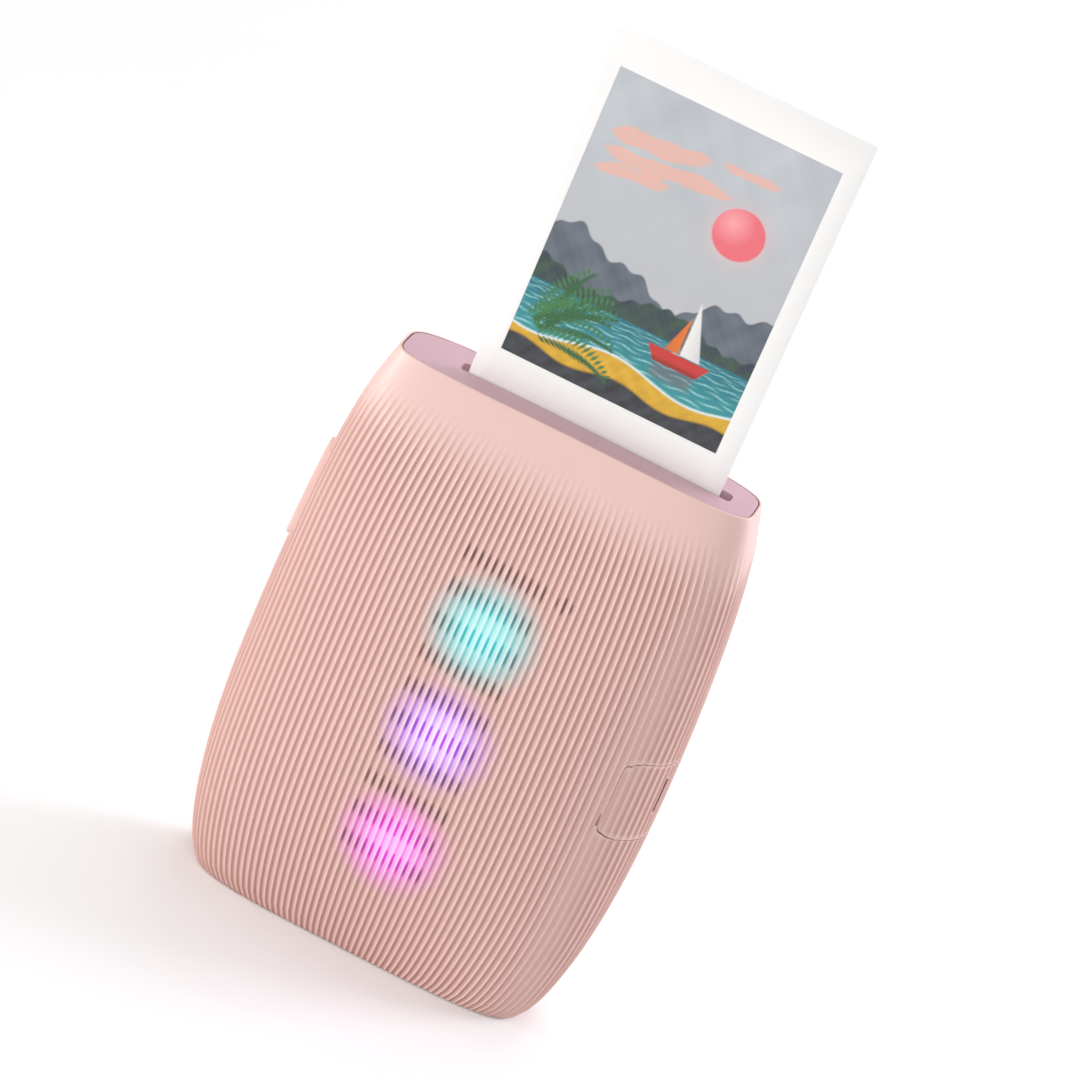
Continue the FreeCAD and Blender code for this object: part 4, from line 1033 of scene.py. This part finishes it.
    def _knuckle_spans(self) -> list[tuple[float, float]]:
        """Heights of the rear shell's hinge knuckles, from the lowest.

        Returns:
            Start and end of each.
        """
        low, high, count = self.knuckles
        step = (high - low) / count
        return [(low + step * k, low + step * (k + 1)) for k in range(0, count, 2)]

    def _channel(self, name: str, low: float, high: float) -> Any:
        """Round bar that clears the way of the door's hinge edge."""
        return rod(name, Axis.Z, self.hinge, self.nose + self.nose_gap, low, high, self.nose_sides)

    def _rear(self, shell: Any) -> None:
        """Rear frame round the door, with its hinge knuckles and lips.

        Args:
            shell: Copy of the whole casing.
        """
        hx, hy = self.hinge
        between(shell, self.parting, self.far)
        cut(shell, block("opening", (hx, -1, self.door_low), (self.far, self.far, self.door_high), 0))
        cut(shell, self._channel("channel", self.door_low, self.door_high))
        parts = [shell]
        for low, high in self._knuckle_spans():
            parts.append(rod("knuckle", Axis.Z, self.hinge, self.knuckle_radius, low, high, 48, 0.15))
            parts.append(block("arm", (self.arm_start, hy - self.arm_reach, low), (hx, hy, high), 0.1))
        parts += [block(*bar) for bar in self.rear_bars]
        finish("casing_rear", parts, self.pink, "housing", "pink_shell", "rear_shell")

    def _door(self, shell: Any) -> None:
        """Film door with its rounded hinge edge, light rim, rails and window.

        Args:
            shell: The whole casing.
        """
        hx, low, high = self.hinge[0], self.door_low + self.door_gap, self.door_high - self.door_gap
        zone = block("zone", (hx, self.parting + self.door_gap, low), (self.far, self.far, high), 0)
        cut(shell, zone, "INTERSECT")
        nose = rod("nose", Axis.Z, self.hinge, self.nose, low, high, self.nose_sides)
        cut(shell, cut(nose, self.form.solid("casing_full"), "INTERSECT"), "UNION")
        for start, end in self._knuckle_spans():
            cut(shell, self._channel("gap", start - self.knuckle_gap, end + self.knuckle_gap))
        cut(shell, pill("window_hole", *self.window_hole, Axis.Y, self.window_corner))
        # The rims, rails and pads inside end a little below the outer face
        bars = [cut(block("bar", *bar, 0), self.form.plain("trim", -self.door_skin), "INTERSECT")
                for bar in self.door_bars]
        finish("back_cover", [shell] + bars, self.pink, "door", "pink_shell", "film_door")


@dataclass
class SlotDeck:
    """Mauve inlay in the top with the slot for the print."""

    form: BarrelForm
    mauve: Any
    slot_low: tuple[float, float] = (-25.6, -3.35)
    slot_high: tuple[float, float] = (32.5, 0.25)
    slot_reach: tuple[float, float] = (110.0, 140.0)
    corner: float = 0.8
    chamfer: tuple[float, float, float] = (0.4, 0.2, 0.4)
    chamfer_depth: float = 0.8
    seam: float = 0.46
    flange: float = 3.4
    flange_depth: float = 3.2
    depth: float = 1.5
    edge_path: tuple = ((0.16, 0.0), (0.05, 0.05))
    edge_round: float = 0.18
    rings: tuple = (0.0, 0.8, 2.0, 3.6, 5.4, 7.2)

    def build(self) -> None:
        """Build and dress the inlay."""
        deck = self._plate()
        (x0, y0), (x1, y1), (side, front, back) = self.slot_low, self.slot_high, self.chamfer
        top, (low, high) = self.form.height, self.slot_reach
        cut(deck, pill("slot_hole", (x0, y0, low), (x1, y1, high), Axis.Z, self.corner))
        mouth = pill("mouth", (x0 - side, y0 - front, top - self.chamfer_depth),
                     (x1 + side, y1 + back, top + 1.5), Axis.Z, self.corner + 0.3)
        for vertex in mouth.data.vertices:
            if vertex.co.z < top * MM:
                vertex.co.x += side * MM * (1 if vertex.co.x < (x0 + x1) / 2 * MM else -1)
                vertex.co.y += MM * (front if vertex.co.y < (y0 + y1) / 2 * MM else -back)
        finish("slot_deck", [cut(deck, mouth)], self.mauve, "housing", "mauve_cap", "top_cap", 40)

    def _plate(self) -> Any:
        """The inlay as a closed crowned plate with a softly rounded edge.

        Returns:
            The new object.
        """
        form, top, seam = self.form, self.form.height, self.seam
        path = [(top - self.flange_depth, self.flange), (top - self.depth, self.flange),
                (top - self.depth, seam)]
        path += [(top - down, seam + inside) for down, inside in self.edge_path]
        path += [(top, seam + self.edge_round + step) for step in self.rings]
        points = []
        for z, inset in path:
            x, y = form.outline(top, inset, form.plain_columns)
            sag = form.crown * (x / (form.width / 2)) ** 2 * (z > top - self.depth)
            points.append(np.stack((x, y, z - sag), axis=1))
        return rolled("slot_deck", np.array(points), {})


@dataclass
class SideKey:
    """Long raised button on the left side."""

    form: BarrelForm
    pink: Any
    raised: float = 0.7
    flange: float = -2.0
    core: float = -2.9
    face: tuple = ((-60, -5.7, 75.8), (-36, 1.3, 98.2))
    face_corner: float = 3.49
    base: tuple = ((-60, -6.3, 75.2), (-36, 1.9, 98.8))
    base_corner: float = 4.09
    edge_round: float = 0.25
    edge_angle: float = 50.0
    stem: tuple = ((-2.2, 87.0), 1.2, -43.0, -40.6, 32, 0.1)

    def build(self) -> None:
        """Build and dress the button."""
        skin = self._slab("side_key", self.raised, self.face, self.face_corner)
        use_modifier(skin, "BEVEL", width=self.edge_round * MM, segments=3, limit_method="ANGLE",
                     angle_limit=math.radians(self.edge_angle))
        stem = rod("stem", Axis.X, *self.stem)
        parts = [skin, self._slab("flange", self.flange, self.base, self.base_corner), stem]
        finish("side_key", parts, self.pink, "button", "pink_shell", "side_button", 35)

    def _slab(self, name: str, outside: float, box: tuple, corner: float) -> Any:
        """Slab that follows the casing's curve.

        Args:
            name: Object name.
            outside: How far its outer face lies outside the crests.
            box: Lowest and highest corner of its outline.
            corner: Corner radius.

        Returns:
            The new object.
        """
        slab = cut(self.form.plain(name, outside), self.form.plain("core", self.core))
        return cut(slab, pill(name + "_tool", *box, Axis.X, corner), "INTERSECT")


@dataclass
class PhotoCard:
    """White instant sheet with its picture."""

    card: Any
    picture: Any
    centre: float = 3.2
    plane: float = -2.8
    thickness: float = 0.5
    bottom: float = 115.5
    width: float = 54.0
    height: float = 86.0
    corner: float = 0.8
    picture_width: float = 46.0
    picture_height: float = 62.0
    margin: float = 7.7
    recess: float = 0.04
    recess_depth: float = 0.1
    edge_round: float = 0.06
    picture_depth: float = 0.02
    picture_thickness: float = 0.08
    cells: tuple[int, int] = (230, 310)

    def build(self) -> None:
        """Build the sheet and its picture."""
        front, top = self.plane - self.thickness / 2, self.bottom + self.height
        x0, x1 = self.centre - self.width / 2, self.centre + self.width / 2
        sheet = pill("photo_card", (x0, front, self.bottom), (x1, front + self.thickness, top), Axis.Y,
                     self.corner)
        use_modifier(sheet, "BEVEL", width=self.edge_round * MM, segments=2, limit_method="ANGLE")
        left, low = self.centre - self.picture_width / 2, top - self.margin - self.picture_height
        right, high = self.centre + self.picture_width / 2, top - self.margin
        cut(sheet, block("recess", (left - self.recess, front - 1, low - self.recess),
                         (right + self.recess, front + self.recess_depth, high + self.recess), 0))
        finish("photo_card", [sheet], self.card, "print", "print_card", "instant_print")
        self._picture(left, low, front)

    def _picture(self, left: float, low: float, front: float) -> None:
        """The picture, painted point by point by its own rules.

        Args:
            left: Its left edge.
            low: Its lower edge.
            front: The sheet's front face.
        """
        obj, across, up = grid("photo_picture", *self.cells)
        x, y = across * self.picture_width, up * self.picture_height
        place = np.stack((left + x, np.full_like(x, front + self.picture_depth), low + y), axis=1) * MM
        obj.data.vertices.foreach_set("co", place.reshape(-1))
        paint = obj.data.color_attributes.new("paint", "FLOAT_COLOR", "POINT")
        paint.data.foreach_set("color", Painting(x, y).colours().astype(np.float32).reshape(-1))
        use_modifier(obj, "SOLIDIFY", thickness=self.picture_thickness * MM, offset=-1.0)
        finish("photo_picture", [obj], self.picture, "print", "picture", "print_image")


def edge(value: np.ndarray, soft: float = 0.15) -> np.ndarray:
    """Soft step that is open where the value is above zero."""
    return np.clip(value / soft + 0.5, 0, 1)


@dataclass
class Painting:
    """Generic seaside picture of soft shapes, in millimetres from its lower left corner."""

    x: np.ndarray
    y: np.ndarray
    tall: float = 62.0
    sun: tuple[float, float, float] = (33.0, 42.0, 5.2)
    horizon: float = 16.5
    mast: float = 32.0
    deck: float = 14.9
    clouds: tuple = ((13, 51, 10, 0.14, 1.7), (16, 47, 13, 0.08, 1.5), (10, 43.4, 7.5, 0.18, 1.2),
                     (31, 53.5, 6, -0.06, 0.8))
    fronds: tuple = ((3.5, 5.5, 1.15), (5.0, 5.0, 1.5), (2.0, 6.0, 0.75), (6.0, 4.6, 1.85), (4.2, 5.2, 1.32),
                     (1.0, 6.6, 0.98), (3.0, 5.0, 0.45))

    def colours(self) -> np.ndarray:
        """Paint the picture.

        Returns:
            Linear colour of each point, with alpha.
        """
        sky = np.clip(self.y / self.tall, 0, 1)[:, None]
        self.paint = np.array(linear("BABEC4")) * sky + np.array(linear("C3C2C2")) * (1 - sky)
        self._sky()
        self._land()
        self._boat()
        self._palm()
        self.paint[:, 3] = 1.0
        return self.paint

    def _lay(self, mask: np.ndarray, code: str, amount: float = 1.0) -> None:
        """Lay one colour over the picture where the mask is open."""
        share = np.clip(mask, 0, 1)[:, None] * amount
        self.paint = self.paint * (1 - share) + np.array(linear(code)) * share

    def _fill(self, mask: np.ndarray, code: str, tone: str, part: np.ndarray, amount: float) -> None:
        """Lay one colour where the mask is open, and a second tone over part of it."""
        self._lay(mask, code)
        self._lay(mask * part, tone, amount)

    def _mottle(self, size: float, turn: float) -> np.ndarray:
        """Even cloudy pattern.

        Args:
            size: About how large its patches are.
            turn: Phase of its waves.

        Returns:
            Values from 0 to 1.
        """
        u, v = self.x / size, self.y / size
        waves = (np.sin(u + 1.9 * np.sin(0.7 * v + turn)) + np.sin(1.3 * v + 1.6 * np.sin(0.9 * u - turn))
                 + 0.6 * np.sin(2.3 * u - 1.7 * v + turn) + 0.4 * np.sin(4.1 * u + 3.3 * v + 2 * turn))
        return np.clip(waves / 5.0 + 0.5, 0, 1)

    def _near(self, cx: float, cy: float, reach: float) -> np.ndarray:
        """One at a place, and falling to zero at the given distance."""
        return np.clip(1 - np.hypot(self.x - cx, self.y - cy) / reach, 0, 1)

    def _sky(self) -> None:
        """Cloudy sky with brushed coral clouds and the sun."""
        x, y = self.x, self.y
        self._lay(self._mottle(5.0, 0.4) * np.clip((y - 28) / 20, 0, 1), "D3D5D8", 0.5)
        self._lay(self._mottle(2.2, 2.0) * np.clip((y - 24) / 30, 0, 1), "A4A9B0", 0.25)
        for cx, cy, length, tilt, thick in self.clouds:
            along = (x - cx) * math.cos(tilt) + (y - cy) * math.sin(tilt)
            over = -(x - cx) * math.sin(tilt) + (y - cy) * math.cos(tilt) + 0.35 * np.sin(along * 0.35 + cy)
            width = thick * np.clip(1.15 - (along / length) ** 4, 0, 1)
            width *= 1 + 0.12 * np.sin(along * 0.8 + cx)
            bristles = 0.72 + 0.28 * np.sin(over * 7.5 + 0.6 * np.sin(along * 0.5))
            ends = edge(length - np.abs(along) + 0.8 * np.sin(over * 5), 1.6)
            self._lay(edge(width - np.abs(over), 0.35) * ends * bristles, "F6B199", 0.9)
        cx, cy, radius = self.sun
        for reach, amount in ((9.0, 0.32), (7.2, 0.44)):
            self._lay(self._near(cx, cy, reach), "F7C4C0", amount)
        self._fill(edge(1 - np.hypot((x - cx) / radius, (y - cy) / radius), 0.04), "EE6E79", "FFB4B6",
                   self._near(cx - 1.8, cy + 1.8, 4.6), 0.75)

    def _land(self) -> None:
        """Mountains, wooded hills, sea with waves, beach and rocks."""
        x, y, sea = self.x, self.y, self.horizon
        ridge = 26 + 3.2 * np.sin(x * 0.16 + 0.6) + 1.4 * np.sin(x * 0.41) + 0.5 * np.sin(x * 1.3 + 1)
        self._fill(edge(ridge - y, 0.3), "6C747E", "4E5660", self._mottle(1.6, 1.1), 0.7)
        hills = 20.5 + 1.6 * np.sin(x * 0.22 + 2) + 0.35 * np.sin(x * 1.7)
        self._fill(edge(hills - y, 0.3), "2F3A4A", "49663F", self._mottle(1.1, 3.0), 0.6)
        self._fill(edge(sea - y, 0.2), "17707E", "3FA3A6", np.clip((sea - y) / 11, 0, 1), 0.75)
        for k in range(12):
            swell = (0.08 + 0.02 * k) * np.sin(x * (1.5 - 0.07 * k) + k * 1.7)
            wave = 16.0 - 0.32 * k - 0.045 * k * k + swell
            crest = 0.5 + 0.5 * np.sin(x * (0.55 + 0.03 * k) + k * 2.3)
            self._lay(edge(0.07 + 0.012 * k - np.abs(y - wave), 0.12) * crest, "A9DDDC", 0.7)
        shore = 7.2 + 1.5 * np.sin(x * 0.19 + 4)
        self._lay(edge(shore + 0.5 - y, 0.3), "E9F3F0", 0.85)
        self._fill(edge(shore - y, 0.25), "E3B32C", "C28E1D", self._mottle(0.7, 0.9), 0.55)
        rocks = 3.4 + 0.9 * np.sin(x * 0.3 + 1)
        self._lay(edge(rocks + 0.3 - y, 0.4), "8A6420", 0.7)
        self._fill(edge(rocks - y, 0.25), "2B2C31", "474A50", self._mottle(0.9, 2.2), 0.8)

    def _boat(self) -> None:
        """Sailing boat with its image in the water."""
        x, y, mast = self.x, self.y, self.mast
        ripple = edge(4.2 - np.abs(x - mast + 0.3 * np.sin(y * 5)), 0.8)
        self._lay(edge(11.6 - y, 0.3) * edge(y - 8.6, 1.5) * ripple, "7E5552", 0.45)
        hull = edge(1.5 - np.abs(y - 13.2), 0.2) * edge(5.5 - np.abs(x - mast) - (13.2 - y) * 0.7, 0.2)
        self._fill(hull, "C9342E", "8E211D", edge(12.6 - y, 0.5), 0.7)
        above, ahead, behind = edge(y - self.deck), x - mast, mast - 0.4 - x
        self._fill(above * edge((26.5 - y) * 0.36 - ahead, 0.2) * edge(ahead), "F1EFEA", "B9BCC2",
                   np.clip(ahead / 4, 0, 1), 0.5)
        self._fill(above * edge((23 - y) * 0.34 - behind, 0.2) * edge(behind), "E8792F", "B8501C",
                   np.clip(behind / 3, 0, 1), 0.5)

    def _palm(self) -> None:
        """Palm fronds in the lower left corner, leaf by leaf on both sides of each rib."""
        x, y = self.x, self.y
        for cx, cy, turn in self.fronds:
            for reach in np.linspace(2.5, 17.5, 16):
                bend = turn - 0.03 * reach
                lx, ly = cx + reach * math.cos(bend), cy + reach * math.sin(bend)
                size = 4.0 * (1 - abs(reach - 8) / 15)
                for side, green in ((-1, "2C6238"), (1, "3E7A45")):
                    lean = bend + side * 0.85
                    along = (x - lx) * math.cos(lean) + (y - ly) * math.sin(lean)
                    over = np.abs(-(x - lx) * math.sin(lean) + (y - ly) * math.cos(lean))
                    leaf = edge(0.34 * (1 - np.abs(along / size * 2 - 1)) - over, 0.12)
                    self._lay(leaf * edge(along, 0.1), green)


@dataclass
class Works:
    """The inner pieces and trims that keep their solids and get real finishes."""

    nodes: dict
    record: dict

    def finishes(self) -> dict[str, Any]:
        """Moulded, pressed and turned stock of the mechanism.

        Returns:
            Finishes by the record's material slots.
        """
        return {
            "diffuser": Moulded("opal_polycarbonate", "EEF0F2", "E4E8EC", 0.5, subsurface=0.3),
            "steel": Metal("zinc_plated_steel", "B9BCC2", 0.28),
            "spring_steel": Metal("rolled_spring_steel", "A4A8B0", 0.25, stretch=(0.05, 1.0, 1.0)),
            "window_clear": Clear("smoked_acrylic", "8E9194", 0.12),
            "foam": Foam("urethane_foam", "1C1C1E"),
            "felt": Foam("wool_felt", "141416", 0.2),
            "black_abs": Moulded("black_abs_moulded", "1B1B1D", "222225", 0.45),
            "gear_white": Moulded("natural_acetal", "E8E5DA", "DEDACD", 0.35, subsurface=0.1),
            "bush_plastic": Moulded("bearing_acetal", "D6D0BC", "CCC5AE", 0.35),
            "roller_rubber": Moulded("ground_silicone_rubber", "26262A", "2E2E33", 0.7, 0.12, 0.01),
            "board_green": CircuitBoard("solder_masked_board"),
            "chip_black": Moulded("chip_epoxy", "17181A", "1F2023", 0.4),
            "lamp_white": Moulded("lamp_lens_epoxy", "F4F1DC", "EDE8C8", 0.2),
            "battery_foil": Metal("aluminium_foil_pouch", "C3C7CE", 0.35, 0.6, (1.0, 1.0, 1.0)),
            "motor_steel": Metal("nickel_plated_can", "AEB1B7", 0.3),
            "socket_steel": Metal("plated_socket_shell", "C2C3C6", 0.25),
            "film_black": Moulded("film_backing", "0E0E12", "15151A", 0.2, coat=0.4),
            "lens_glass": Clear("rod_lens_glass", "CFE0E6"),
            "pink_shell": Moulded("pink_abs_plain", "E3BDB5", "DFB8B0", 0.45),
            "mauve_cap": Moulded("mauve_abs_plain", "CFADB6", "CBA8B2", 0.4),
            "print_card": Moulded("card_plain", "F4F2F0", "EFEDEA", 0.35),
            "picture": Moulded("picture_plain", "AFB1B5", "A9ABB0", 0.3),
        }

    def dress(self) -> None:
        """Give every solid its finish by its material slot."""
        made = {slot: finish.material() for slot, finish in self.finishes().items()}
        for part in self.record["subparts"]:
            obj = self.nodes[part["node"]]
            if not obj.material_slots:
                obj.data.materials.append(None)
            for holder in obj.material_slots:
                holder.material = made[part["material_slot"]]
        LOG.info("%d solids dressed", len(self.record["subparts"]))


@dataclass(frozen=True)
class Lamp:
    """Square soft lamp that looks at the printer; its place from the printer's middle is in metres."""

    name: str
    place: tuple[float, float, float]
    size: float
    power: float
    colour: str = "FFFFFF"
    in_view_axes: bool = True


@dataclass
class Studio:
    """White floor, soft lamps and the photograph's camera."""

    target: tuple[float, float, float] = (0.0, 0.0, 62.25)
    azimuth: float = 6.385
    elevation: float = 27.478
    roll: float = 23.667
    distance: float = 944.332
    focal_px: float = 4747.709
    frame_px: float = 1080.0
    offset_px: tuple[float, float] = (-71.612, 142.224)
    ambient: float = 0.34
    floor_size: float = 12.0
    floor_place: tuple[float, float, float] = (0.0, 0.0, -0.0002)
    lamps: tuple[Lamp, ...] = (Lamp("key", (-1.2, 0.45, 0.42), 0.35, 10.5),
                               Lamp("fill", (1.2, 0.1, -0.25), 0.5, 10.4, "F1F2FF"),
                               Lamp("front", (0.1, 0.3, 1.2), 0.8, 4.2),
                               Lamp("top", (0.05, 0.25, 1.1), 0.6, 4.4, in_view_axes=False))

    def axes(self) -> tuple[Vector, Vector, Vector]:
        """Directions of the photograph's view.

        Returns:
            Right, up and towards the camera.
        """
        az, el, roll = (math.radians(v) for v in (self.azimuth, self.elevation, self.roll))
        back = Vector((math.sin(az) * math.cos(el), -math.cos(az) * math.cos(el), math.sin(el)))
        right = (-back).cross(Vector((0, 0, 1))).normalized()
        up = right.cross(-back)
        c, s = math.cos(roll), math.sin(roll)
        return right * c + up * s, up * c - right * s, back

    def build(self) -> None:
        """Build the camera, the lamps, the world and the floor."""
        self._camera()
        for lamp in self.lamps:
            self._lamp(lamp)
        self._world()
        self._floor()

    def _camera(self) -> None:
        """Camera with the photograph's place, turn, lens and framing."""
        right, up, back = self.axes()
        data = bpy.data.cameras.new("photo_camera")
        camera = bpy.data.objects.new("photo_camera", data)
        bpy.context.scene.collection.objects.link(camera)
        place = (Vector(self.target) + back * self.distance) * MM
        camera.matrix_world = Matrix.Translation(place) @ Matrix((right, up, back)).transposed().to_4x4()
        data.sensor_width = 36.0
        data.sensor_fit = "HORIZONTAL"
        data.lens = self.focal_px / self.frame_px * data.sensor_width
        data.shift_x = -self.offset_px[0] / self.frame_px
        data.shift_y = self.offset_px[1] / self.frame_px
        data.clip_start = 0.01
        data.clip_end = 50.0
        bpy.context.scene.camera = camera

    def _lamp(self, lamp: Lamp) -> None:
        """Place one lamp and turn it to the printer.

        Args:
            lamp: Its values.
        """
        data = bpy.data.lights.new(lamp.name, "AREA")
        data.shape = "SQUARE"
        data.size = lamp.size
        data.energy = lamp.power
        data.color = linear(lamp.colour)[:3]
        obj = bpy.data.objects.new(lamp.name, data)
        bpy.context.scene.collection.objects.link(obj)
        offset = Vector(lamp.place)
        if lamp.in_view_axes:
            offset = Matrix(self.axes()).transposed() @ offset
        obj.location = Vector(self.target) * MM + offset
        obj.rotation_euler = (-offset).to_track_quat("-Z", "Y").to_euler()

    def _world(self) -> None:
        """White world that lights the printer softly and shows full white behind it."""
        world = bpy.data.worlds.new("studio_world")
        nodes = Nodes(world)
        seen = nodes.math("MAXIMUM", nodes.out("LightPath", "Is Camera Ray"),
                          nodes.out("LightPath", "Is Transmission Ray"))
        seen = nodes.math("MAXIMUM", seen, nodes.out("LightPath", "Is Glossy Ray"))
        strength = nodes.out("MapRange", "Result", {"Value": seen, "To Min": self.ambient, "To Max": 1.0})
        background = nodes.tree.nodes["Background"]
        background.inputs["Color"].default_value = WHITE
        nodes.tree.links.new(strength, background.inputs["Strength"])
        bpy.context.scene.world = world

    def _floor(self) -> None:
        """Wide white floor that keeps the shadow."""
        bpy.ops.object.select_all(action="DESELECT")
        bpy.ops.mesh.primitive_plane_add(size=self.floor_size, location=self.floor_place)
        floor = bpy.context.object
        floor.name = "studio_floor"
        floor.data.materials.append(FloorPaper("white_paper").material())


def main() -> None:
    """Build the printer's looks and its studio."""
    logging.basicConfig(level=logging.INFO, format="%(message)s")
    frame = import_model()
    bpy.context.scene.view_settings.view_transform = "Standard"
    form = BarrelForm(Level.FULL)
    Works(frame["nodes"], frame["record"]).dress()
    spots = (LightSpot(81.6, "C4F6F4", "14C4CC"), LightSpot(57.0, "FCE2FF", "AE48F2"),
             LightSpot(30.6, "FFC4F6", "F022DC"))
    # B27668 and 7A4A42 are the colours of the painted shade in the ribs and in the seams
    pink = RibbedPlastic("ribbed_pink_abs", "ECCAC2", "E8C4BB", "B27668", "7A4A42", spots).material()
    mauve = Moulded("mauve_abs_inlay", "CFA9B4", "CBA5B0", 0.42).material()
    Casing(form, pink).build()
    SlotDeck(form, mauve).build()
    SideKey(form, pink).build()
    PhotoCard(Moulded("glossy_card", "FBFAF8", "F8F6F3", 0.32).material(),
              PaintedPicture("instant_picture").material()).build()
    Studio().build()


if __name__ == "__main__":
    main()
